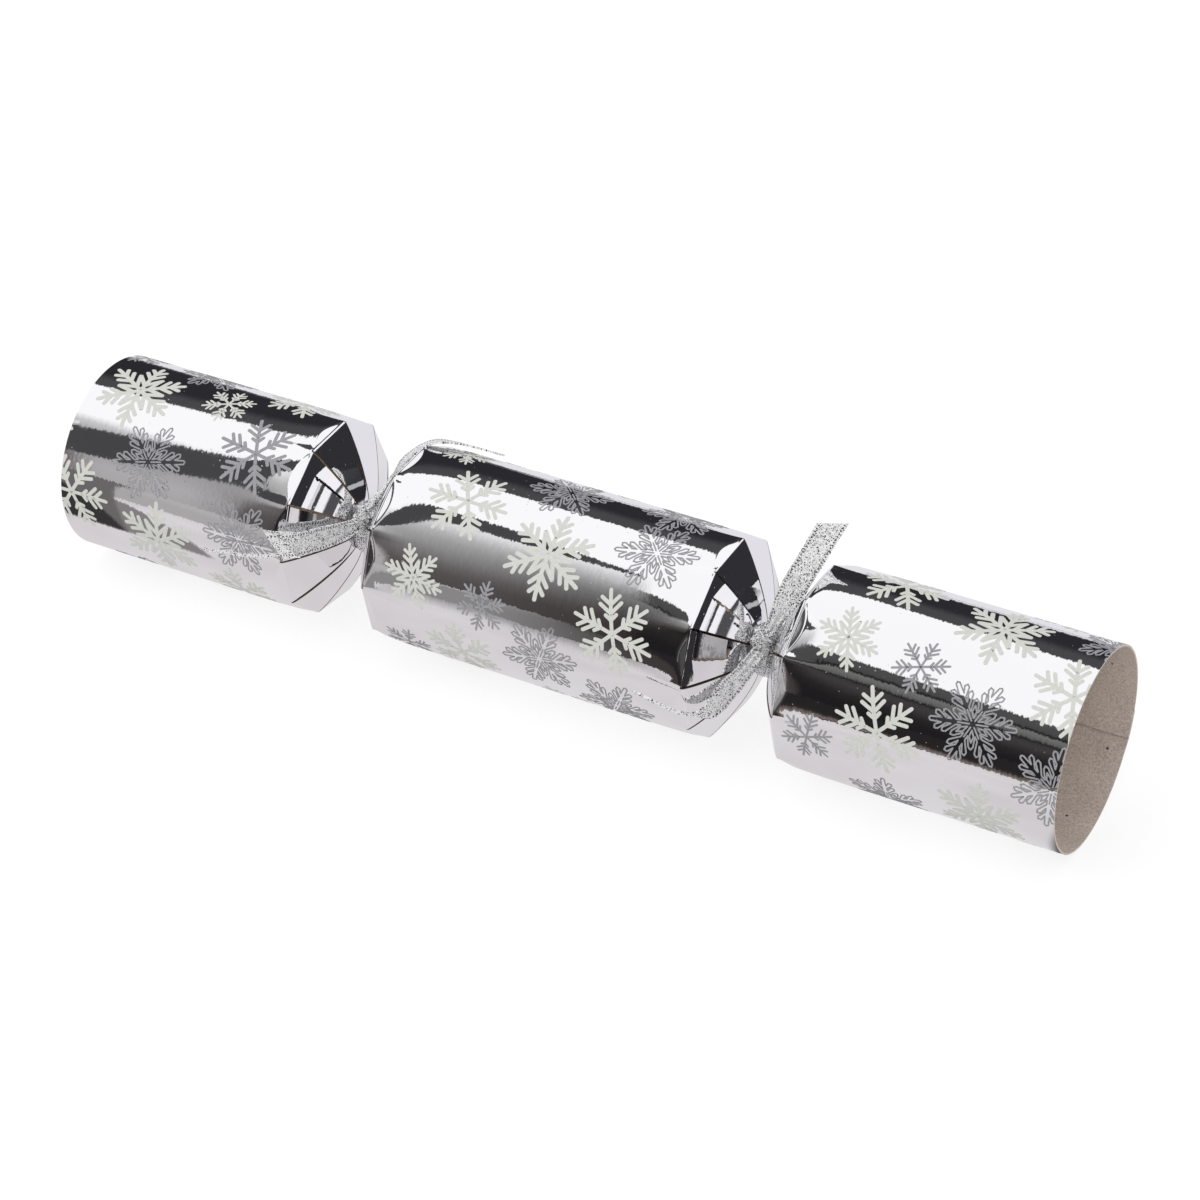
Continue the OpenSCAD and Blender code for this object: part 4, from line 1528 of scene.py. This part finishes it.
    def petal_point(
        self, strip: int, row: int, across: float, inner: bool, bulge: float
    ) -> tuple[float, Vector]:
        """A point of a petal, with the neck's middle at x = 0.

        Args:
            strip: Number of the strip.
            row: Row of the petal's line.
            across: Place across the petal, from -1 to 1.
            inner: Whether the point is on the inside.
            bulge: How far this petal stands out at its middle.

        Returns:
            Distance from the neck's middle, and the point at x = 0, with
            the tube's axis at z = 0, in millimetres.
        """
        line, last = self.profile, len(self.profile) - 1
        here, share = line[row], row / last
        along = (line[min(row + 1, last)] - line[max(row - 1, 0)]).normalized()
        out = 0.0
        if share < self.bulge_end:
            out = bulge * math.sin(math.pi * min(1.0, share / self.bulge_end))
        if inner:
            out -= SHEET.board
        radius = here.y - out * along.x
        slit = self.slit_w * max(0.0, math.sin(math.pi * min(1, share**0.6))) ** 0.8
        slit += self.slit_w / 4 * share
        half, mid = SHEET.half(strip), SHEET.middle(strip)
        wide = radius * math.sin(half) - slit / 2
        depth = radius * math.cos(half)
        y = -depth * math.cos(mid) + across * wide * math.sin(mid)
        z = depth * math.sin(mid) + across * wide * math.cos(mid)
        return here.x + out * along.y, Vector((0, y, z))

    def petals(
        self, draft: Draft, neck: float, side: int, out: list[int], into: list[int]
    ) -> None:
        """Adds the petals of a throat.

        Args:
            draft: The mesh in the making.
            neck: The neck's place along X.
            side: 1 if the tube lies on the +X side of the neck.
            out: Numbers of the shoulder's outside ring.
            into: Numbers of its inside ring.
        """
        turn = random.Random(self.seed * 7 + side)
        for strip in range(SHEET.strips):
            bulge = turn.uniform(-0.4, 1.0) * self.bulge
            half = SHEET.half(strip)
            shares = [*self.fractions[strip], 1.0]
            across = [math.tan(half * (2 * s - 1)) / math.tan(half) for s in shares]
            first = strip * self.columns
            sheets = []
            for inner, ring in ((False, out), (True, into)):
                end = ring[(first + self.columns) % self.count]
                grid = [[*ring[first:first + self.columns], end]]
                for row in range(1, len(self.profile)):
                    points = []
                    for place in across:
                        u, p = self.petal_point(strip, row, place, inner, bulge)
                        points.append((p + Vector((neck + side * u, 0, SHEET.axis_z))) * MM)
                    grid.append(draft.ring(points))
                sheets.append(grid)
            self.petal_faces(draft, *sheets)

    def petal_faces(
        self, draft: Draft, outer: list[list[int]], inner: list[list[int]]
    ) -> None:
        """Adds the faces of one petal.

        Args:
            draft: The mesh in the making.
            outer: Numbers of its outside points, row by row.
            inner: Numbers of its inside points.
        """
        last = self.columns
        for a, b, c, d in zip(outer, outer[1:], inner, inner[1:]):
            for j in range(last):
                draft.face([a[j], b[j], b[j + 1], a[j + 1]], Side.FOIL.value)
                draft.face([c[j + 1], d[j + 1], d[j], c[j]], Side.INSIDE.value)
            draft.face([a[0], c[0], d[0], b[0]], Side.CUT.value)
            draft.face([a[last], b[last], d[last], c[last]], Side.CUT.value)
        a, b = outer[-1], inner[-1]
        for j in range(last):
            draft.face([a[j], b[j], b[j + 1], a[j + 1]], Side.CUT.value)

    def build(self) -> Piece:
        """Makes the shell.

        Returns:
            The shell.
        """
        draft = Draft()
        outer, inner = self.wall_faces(draft)
        for (place, kind), row, side in ((self.low, 0, 1), (self.high, -1, -1)):
            if kind is End.RIM:
                self.rim_faces(draft, outer[row], inner[row])
            else:
                self.petals(draft, place, side, outer[row], inner[row])
        finishes = [finish.material() for finish in (FOIL, GREYBOARD_PAINTED_LIGHT, CUT_EDGE_PAINTED_SHADE)]
        made = draft.piece(f"{self.name}_board", finishes, 40)
        return settle(made, self.name, "mirror_board", self.body)


class Flake(Enum):
    """The kinds of flake in the print. The value is the width of its strokes."""

    PLAIN = 0.085
    STAR = 0.092
    GREY_PLAIN = 0.08
    LINE_STAR = 0.036


CREAM_FLAKES = (Flake.PLAIN, Flake.STAR)
GREY_FLAKES = (Flake.GREY_PLAIN, Flake.LINE_STAR)


def stroke(
    draft: Draft, a: Vector, b: Vector, wide: float, high: float, step: float = 0.11
) -> None:
    """Adds a flat stroke with round ends.

    Args:
        draft: The mesh in the making.
        a: Where the stroke starts.
        b: Where it ends.
        wide: Its width.
        high: Its height.
        step: The most that its outline goes between two points.
    """
    run = b - a
    along = run.normalized()
    side = Vector((-along.y, along.x, 0)) * wide / 2
    steps = max(1, math.ceil(run.length / step))
    upper = [a + run * k / steps + side for k in range(steps + 1)]
    lower = [a + run * k / steps - side for k in range(steps + 1)]
    cap_b = [b + along * wide / 2 * math.cos(t) + side * math.sin(t) for t in (0.6, -0.6)]
    cap_a = [a - along * wide / 2 * math.cos(t) + side * math.sin(t) for t in (-0.6, 0.6)]
    loops = []
    for z in (high, 0.0):
        lift = Vector((0, 0, z))
        top, low, end, start = (
            draft.ring([p + lift for p in row]) for row in (upper, lower, cap_b, cap_a)
        )
        faces = [[low[k], low[k + 1], top[k + 1], top[k]] for k in range(steps)]
        faces += [[low[-1], end[1], end[0], top[-1]], [top[0], start[1], start[0], low[0]]]
        for face in faces:
            draft.face(face if z else face[::-1])
        loops.append([*low, end[1], end[0], *top[::-1], start[1], start[0]])
    high_loop, low_loop = loops
    for k in range(len(high_loop)):
        m = (k + 1) % len(high_loop)
        draft.face([low_loop[k], low_loop[m], high_loop[m], high_loop[k]])


@dataclass(frozen=True)
class FlakeShape:
    """The strokes of each kind of flake, on a flake one unit in radius."""

    kind: Flake
    high: float = 0.005
    lean: float = 42.0
    rim: float = 0.055

    def arm(self) -> list[Stroke]:
        """The strokes of one arm and the petal beside it.

        Returns:
            Pairs of ends, with the arm along X.
        """
        lines = [(Vector((0, 0, 0)), Vector((1 - self.kind.value / 2, 0, 0)))]
        star = self.kind is Flake.STAR
        barbs, lean = ((0.30, 0.17), (0.44, 0.33), (0.63, 0.27)), 48.0
        if star:
            barbs, lean = ((0.42, 0.30), (0.64, 0.24)), self.lean
        for root, reach in barbs:
            for sign in (1, -1):
                start = Vector((root, 0, 0))
                lines.append((start, start + ray(math.radians(lean) * sign) * reach))
        if star:
            far = ray(math.radians(30)) * 0.54
            lines += [(ray(a) * 0.17, far) for a in (0.0, math.radians(60))]
        return lines

    def outline(self) -> list[Stroke]:
        """The line round one arm and one petal of the outlined star.

        Returns:
            Pairs of ends.
        """
        w, lean, mid = self.rim, math.radians(self.lean), math.radians(30)
        out, way = ray(lean), ray(mid)
        side, off = Vector((-out.y, out.x, 0)), Vector((way.y, -way.x, 0))
        half = [Vector((1.0, 0, 0)), Vector((0.965, w * 0.8, 0))]
        for root, reach in ((0.64, 0.24), (0.42, 0.30)):
            tip = Vector((root, 0, 0)) + out * reach
            half += [
                Vector((root + w / math.sin(lean) - w / math.tan(lean) * 0.2, w, 0)),
                tip - side * w, tip + out * w, tip + side * w,
                Vector((root - w * 0.75, w, 0)),
            ]
        half += [Vector((0.27, w * 1.1, 0)), way * 0.50 + off * w, way * 0.56]
        flip = Matrix.Rotation(2 * mid, 3, "Z")
        whole = half + [flip @ Vector((p.x, -p.y, 0)) for p in half[::-1]][1:]
        slot = [way * 0.13, way * 0.27 + off * 0.05, way * 0.41, way * 0.27 - off * 0.05]
        slot.append(slot[0])
        vein = (Vector((0.08, 0, 0)), Vector((0.34, 0, 0)))
        return [*zip(whole, whole[1:]), *zip(slot, slot[1:]), vein]

    def build(self) -> Piece:
        """Makes the flat flake that the print repeats.

        Returns:
            The flake.
        """
        draft = Draft()
        lines = self.outline() if self.kind is Flake.LINE_STAR else self.arm()
        for arm in range(6):
            spin = Matrix.Rotation(math.radians(60 * arm), 3, "Z")
            for a, b in lines:
                stroke(draft, spin @ a, spin @ b, self.kind.value, self.high)
        mesh = bpy.data.meshes.new("flat flake")
        mesh.from_pydata([tuple(p) for p in draft.points], [], draft.faces)
        return link("flat flake", mesh)


# Each flake's place along X, angle round the tube, size and turn.
LEFT_SPOTS = {
    Flake.PLAIN: (
        (-92.6, 87.4, 6.6, 29), (-124, 5.3, 10.4, 0), (-78.6, 116.2, 9.9, 56),
        (-79.6, -38.5, 9.4, 36), (-134.5, 43.5, 9.4, 8), (-121, -105, 10.4, 47),
        (-84, -156, 9.6, 50), (-94, 162, 10.4, 44), (-121, -165, 6.6, 29),
    ),
    Flake.STAR: (
        (-114.9, 77.3, 11.0, 33), (-99.9, -11.2, 11.0, 30), (-91, -79, 11.0, 30),
        (-104, -151, 11.0, 30), (-76, 166, 7.9, 48),
    ),
    Flake.GREY_PLAIN: ((-78.1, 59, 10.4, 52), (-124.2, 117.5, 6.6, 18), (-104, -109, 6.6, 20)),
    Flake.LINE_STAR: (
        (-104.1, 36.1, 9.8, 14), (-76.8, 7.5, 9.8, 0), (-103.2, 118.5, 9.8, 10),
        (-111, -62, 9.8, 12), (-76, -113, 9.8, 10), (-119, 155, 9.8, 16),
    ),
}
BARREL_SPOTS = {
    Flake.PLAIN: (
        (-23.4, 68.8, 10.4, 59), (20.9, 20.6, 10.4, 47), (-18.1, -25.6, 9.9, 37),
        (-33, 111.2, 6.6, 52), (5, -62, 10.4, 47), (29, -78, 10.4, 50),
        (-14, -148, 10.4, 47), (29, 157, 9.6, 47), (-30, 179, 6.6, 29),
    ),
    Flake.STAR: (
        (0.7, 51.8, 11.0, 30), (-30, 17.8, 7.9, 50), (-25, -74, 11.0, 30),
        (27, -129, 11.0, 30), (6, 144, 11.0, 30),
    ),
    Flake.GREY_PLAIN: (
        (-12, 13, 6.6, 20), (-33.6, -35.5, 6.6, 15), (-32, -120, 9.6, 44), (-4, 178, 6.6, 20),
    ),
    Flake.LINE_STAR: (
        (-3.4, 99.6, 9.8, 12), (24.3, 71.5, 9.8, 12), (3.1, -9, 9.8, 11), (21, -32.5, 9.8, 6),
        (23, 112, 9.8, 19), (-2, -108, 9.8, 12), (-22, 145, 9.8, 12), (15, -170, 9.8, 14),
    ),
}
RIGHT_SPOTS = {
    Flake.PLAIN: (
        (78.3, 106.5, 10.4, 55), (124.8, 60.3, 10.4, 45), (85.5, 12, 10.4, 48),
        (121, -70, 10.4, 47), (86, -127, 10.4, 44), (98, 175, 10.4, 47), (113, 138, 10.4, 50),
    ),
    Flake.STAR: (
        (104, 90.4, 11.0, 30), (73.6, 56.6, 7.9, 47), (109.7, -25.5, 11.0, 30),
        (75, -82, 11.0, 30), (107, -137, 11.0, 30), (78, 158, 11.0, 30),
    ),
    Flake.GREY_PLAIN: (
        (91.2, 52.4, 6.6, 18), (69.4, -4.1, 6.6, 20), (121, -111, 6.6, 20), (76, -159, 6.6, 29),
    ),
    Flake.LINE_STAR: (
        (106, 31.8, 9.8, 8), (125.9, 10.2, 9.8, 26), (87.2, -41.5, 9.8, 30),
        (128.5, 106.5, 9.8, 36), (102, -87, 9.8, 12), (121, -177, 9.8, 12),
    ),
}


@dataclass
class FlakePrint:
    """The flakes that are printed on one length of board."""

    body: str
    board: Piece
    spots: dict[Flake, tuple[Spot, ...]]
    cut_x: float | None = None
    lift: float = 0.000012

    def tree(self) -> bpy.types.NodeTree:
        """Writes the nodes that lay flat flakes on the board.

        Returns:
            The node tree.
        """
        tree = bpy.data.node_groups.get("flake print")
        if tree:
            return tree
        tree = bpy.data.node_groups.new("flake print", "GeometryNodeTree")
        for label, kind, way in (
            ("Geometry", "Geometry", "INPUT"),
            ("Flake", "Object", "INPUT"),
            ("Board", "Object", "INPUT"),
            ("Print lift", "Float", "INPUT"),
            ("Tube radius", "Float", "INPUT"),
            ("Axis height", "Float", "INPUT"),
            ("Ink", "Material", "INPUT"),
            ("Geometry", "Geometry", "OUTPUT"),
        ):
            tree.interface.new_socket(label, in_out=way, socket_type=f"NodeSocket{kind}")
        recipe = Recipe(tree)
        node, times, scale = recipe.node, recipe.times, recipe.scale
        given = node("NodeGroupInput").outputs
        tube, lift = given["Tube radius"], given["Print lift"]
        flake, board = (
            node("GeometryNodeObjectInfo", {"Object": given[label]}).outputs["Geometry"]
            for label in ("Flake", "Board")
        )
        named = "GeometryNodeInputNamedAttribute"
        size, turn = (
            node(named, {"Name": label}, data_type="FLOAT").outputs["Attribute"]
            for label in ("size", "turn")
        )
        copies = node("GeometryNodeInstanceOnPoints", {
            "Points": given["Geometry"],
            "Instance": flake,
            "Rotation": recipe.join(z=turn),
            "Scale": recipe.join(size, size, size),
        })
        real = node("GeometryNodeRealizeInstances", copies.outputs[:1])
        along, around, high = recipe.split(node("GeometryNodeInputPosition").outputs[0])
        angle = recipe.calc("DIVIDE", around, tube)
        out = recipe.join(
            y=times(recipe.calc("COSINE", angle), -1.0), z=recipe.calc("SINE", angle)
        )
        axis = recipe.join(along, 0.0, given["Axis height"])
        cast = node("GeometryNodeRaycast", {
            "Target Geometry": board,
            "Source Position": recipe.vector("ADD", axis, scale(out, times(tube, 1.3))),
            "Ray Direction": scale(out, -1.0),
        }).outputs
        ground = node("GeometryNodeSwitch", {
            "Switch": cast["Is Hit"],
            "False": recipe.vector("ADD", axis, scale(out, tube)),
            "True": cast["Hit Position"],
        }, input_type="VECTOR")
        rise = scale(out, recipe.minus(high, lift))
        landed = recipe.vector("ADD", ground.outputs[0], rise)
        move = node("GeometryNodeSetPosition", {"Geometry": real.outputs[0], "Position": landed})
        coat = node(
            "GeometryNodeSetMaterial", {"Geometry": move.outputs[0], "Material": given["Ink"]}
        )
        node("NodeGroupOutput", coat.outputs[:1])
        return tree

    def lay_flakes(
        self, spots: Sequence[Spot], shape: Piece, ink: bpy.types.Material
    ) -> bpy.types.Mesh:
        """Lays one kind of flake on the board.

        Args:
            spots: Where the flakes go.
            shape: The flat flake.
            ink: The print's material.

        Returns:
            The plain mesh of all these flakes.
        """
        mesh = bpy.data.meshes.new("places")
        radius = SHEET.tube_r * MM
        places = [(x * MM, math.radians(angle) * radius, 0.0) for x, angle, *_ in spots]
        mesh.from_pydata(places, [], [])
        for label, values in (
            ("size", [size * MM for *_, size, _ in spots]),
            ("turn", [math.radians(turn) for *_, turn in spots]),
        ):
            mesh.attributes.new(label, "FLOAT", "POINT").data.foreach_set("value", values)
        holder = link("places", mesh)
        modifier = holder.modifiers.new("print", "NODES")
        modifier.node_group = self.tree()
        sockets = {
            item.name: item.identifier
            for item in modifier.node_group.interface.items_tree
            if item.item_type == "SOCKET" and item.in_out == "INPUT"
        }
        for label, value in (
            ("Flake", shape), ("Board", self.board), ("Print lift", self.lift),
            ("Tube radius", radius), ("Axis height", SHEET.axis_z * MM), ("Ink", ink),
        ):
            modifier[sockets[label]] = value
        graph = bpy.context.evaluated_depsgraph_get()
        made = bpy.data.meshes.new_from_object(holder.evaluated_get(graph), depsgraph=graph)
        holder.modifiers.clear()
        bpy.data.objects.remove(holder)
        return made

    def trim(self, work: bmesh.types.BMesh) -> None:
        """Cuts the flakes off at the rim and closes them.

        Args:
            work: The flakes.
        """
        if self.cut_x is None:
            return
        cut = bmesh.ops.bisect_plane(
            work,
            geom=[*work.verts, *work.edges, *work.faces],
            plane_co=(self.cut_x * MM, 0, 0),
            plane_no=(math.copysign(1, self.cut_x), 0, 0),
            clear_outer=True,
        )
        edges = [e for e in cut["geom_cut"] if isinstance(e, bmesh.types.BMEdge)]
        bmesh.ops.holes_fill(work, edges=edges, sides=0)

    def build(self) -> list[Piece]:
        """Prints the cream flakes and the grey ones.

        Returns:
            The two prints.
        """
        made = []
        for tone, finish, kinds in (
            ("cream", CREAM_INK, CREAM_FLAKES), ("grey", GREY_INK, GREY_FLAKES)
        ):
            ink = finish.material()
            work = bmesh.new()
            for kind in kinds:
                shape = FlakeShape(kind).build()
                bpy.context.view_layer.update()
                work.from_mesh(self.lay_flakes(self.spots[kind], shape, ink))
                bpy.data.objects.remove(shape)
            self.trim(work)
            bmesh.ops.recalc_face_normals(work, faces=work.faces)
            name = f"{self.body}_{tone}_flakes"
            mesh = bpy.data.meshes.new(name)
            work.to_mesh(mesh)
            work.free()
            mesh.materials.clear()
            mesh.materials.append(ink)
            mesh.polygons.foreach_set("material_index", [0] * len(mesh.polygons))
            mesh.shade_smooth()
            mesh.set_sharp_from_angle(angle=math.radians(40))
            piece = link(name, mesh)
            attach(piece, self.body)
            made.append(piece)
        return made


@dataclass
class Roll:
    """A sheet rolled on itself along X: the crown or the motto slip."""

    name: str
    finish: Finish
    slot: str
    turns: float
    thick: float
    uneven: float
    seed: int
    around: int = 40
    along: int = 24
    hollow: float = 0.0012
    loose: float = 1.6

    def rings(self, count: int) -> list[Ring]:
        """The sections of the roll, inside the box of its CAD solid.

        Args:
            count: Steps of the spiral.

        Returns:
            The rings, each one out along the sheet and back.
        """
        low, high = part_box(self.name)
        middle, half_len = (low + high) / 2, (high.x - low.x) / 2
        thick, uneven = self.thick * MM, self.uneven * MM
        outer = min(high.y - low.y, high.z - low.z) / 2 - thick / 2
        inner = max(self.hollow, outer - self.turns * thick * self.loose)
        phase = phases(random.Random(self.seed))
        rings = []
        for n in range(self.along + 1):
            v = -1 + 2 * n / self.along
            top, bottom = [], []
            for k in range(count + 1):
                f = k / count
                a = math.tau * self.turns * f
                wave = math.sin(3 * a + 5 * v + phase[0])
                wave += 0.5 * math.sin(7 * a - 3 * v + phase[1])
                radius = lerp(inner, outer, f) + uneven * wave * (1 - f)
                end = uneven * 2 * math.sin(2 * a + phase[2]) * abs(v) ** 6 * (1 - f)
                x = middle.x + v * (half_len - abs(end))
                for row, r in ((top, radius + thick / 2), (bottom, radius - thick / 2)):
                    y, z = middle.y - r * math.cos(a), middle.z + r * math.sin(a)
                    row.append(Vector((x, y, z)))
            rings.append(top + bottom[::-1])
        return rings

    def build(self) -> Piece:
        """Rolls the sheet and skins it, with its spiral ends.

        Returns:
            The roll.
        """
        draft = Draft()
        count = round(self.turns * self.around)
        ids = [draft.ring(r) for r in self.rings(count)]
        size = len(ids[0])
        for a, b in zip(ids, ids[1:]):
            for j in range(size):
                k = (j + 1) % size
                draft.face([a[j], b[j], b[k], a[k]])
        for end in (ids[0], ids[-1]):
            for k in range(count):
                draft.face([end[k], end[k + 1], end[size - 2 - k], end[size - 1 - k]])
        made = draft.piece(f"{self.name}_rolled", [self.finish.material()], 50)
        return settle(made, self.name, self.slot)


@dataclass
class RubberBand:
    """The band that holds the crown's roll."""

    name: str = "crown_elastic"
    around: int = 60
    section: int = 10
    thick: float = 0.0004
    ripple: float = 0.00004
    slack: float = 0.98

    def build(self) -> Piece:
        """Makes the band in the box of its CAD solid, with soft edges.

        Returns:
            The band.
        """
        low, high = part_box(self.name)
        middle, wide = (low + high) / 2, (high.x - low.x) / 2
        outer = (high.z - low.z) / 2 - self.thick
        rings = []
        for n in range(self.around):
            a = math.tau * n / self.around
            ring = []
            for k in range(self.section):
                t = math.tau * k / self.section
                corner = (math.cos(t), math.sin(t))
                across, out = (math.copysign(abs(p) ** 0.5, p) for p in corner)
                r = outer + self.thick * out + self.ripple * math.sin(6 * a)
                y, z = middle.y - r * math.cos(a), middle.z + r * math.sin(a)
                ring.append(Vector((middle.x + wide * across * self.slack, y, z)))
            rings.append(ring)
        run = [n / self.around * 0.05 for n in range(self.around + 1)]
        round_ = [k / self.section for k in range(self.section + 1)]
        draft = Draft()
        draft.tube(rings, run, round_, closed_run=True)
        made = draft.piece("crown_elastic_band", [ELASTIC.material()], 60)
        return settle(made, self.name, "elastic")


def dress(nodes: dict[str, Finish]) -> None:
    """Gives CAD nodes that stay their finishes.

    Args:
        nodes: The finish of each node.
    """
    for name, finish in nodes.items():
        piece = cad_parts[name]
        piece.data.materials.clear()
        piece.data.materials.append(finish.material())
        LOG.info("dressed %s", name)


def main(trim: float = 0.02) -> None:
    """Builds the studio and the cracker, piece by piece.

    Args:
        trim: How far inside a rim the print is cut, in millimetres.
    """
    logging.basicConfig(level=logging.INFO, format="%(message)s")
    Studio().build()
    for number, route in enumerate((LEFT_FRONT, LEFT_BACK, RIGHT_FRONT, RIGHT_UPPER)):
        LOG.info("made %s", RibbonTail(route, 11 + number).build().name)
    left, right = (SHEET.left_rim, End.RIM), (SHEET.right_rim, End.RIM)
    left_neck, right_neck = (SHEET.left_neck, End.THROAT), (SHEET.right_neck, End.THROAT)
    boards = [
        CardShell("left_end_card", "left_end", left, left_neck, 3).build(),
        CardShell("barrel_card", "barrel", left_neck, right_neck, 5).build(),
        CardShell("right_end_card", "right_end", right_neck, right, 8).build(),
    ]
    for board in boards:
        LOG.info("made %s", board.name)
    bpy.context.view_layer.update()
    for body, board, spots, cut in (
        ("left_end", boards[0], LEFT_SPOTS, SHEET.left_rim + trim),
        ("barrel", boards[1], BARREL_SPOTS, None),
        ("right_end", boards[2], RIGHT_SPOTS, SHEET.right_rim - trim),
    ):
        for piece in FlakePrint(body, board, spots, cut).build():
            LOG.info("printed %s", piece.name)
    for piece in (
        GatheredTurns("left_ribbon_loop", SHEET.left_neck, 21),
        GatheredTurns("right_ribbon_loop", SHEET.right_neck, 22),
        Knot("left_ribbon_knot", -53.5, (0.5, 0.7, 0.3), 31),
        Knot("right_ribbon_knot", 50.0, (0.35, 0.55, 0.75), 33),
        Roll("crown_roll", TISSUE, "tissue", 3.0, 0.45, 0.18, 41),
        Roll("motto_slip", MOTTO_PAPER, "white_paper", 3.0, 0.2, 0.05, 43),
        RubberBand(),
    ):
        LOG.info("made %s", piece.build().name)
    dress({
        "left_snap_strip": SNAP_CARD,
        "right_snap_strip": SNAP_CARD,
        "snap_powder_patch": POWDER,
        "snap_grit_patch": GRIT,
        "snap_paper_band": BAND_PAPER,
        "left_glue_spot": GLUE,
        "right_glue_spot": GLUE,
        "spinning_top": TOP_PLASTIC,
    })


if __name__ == "__main__":
    main()
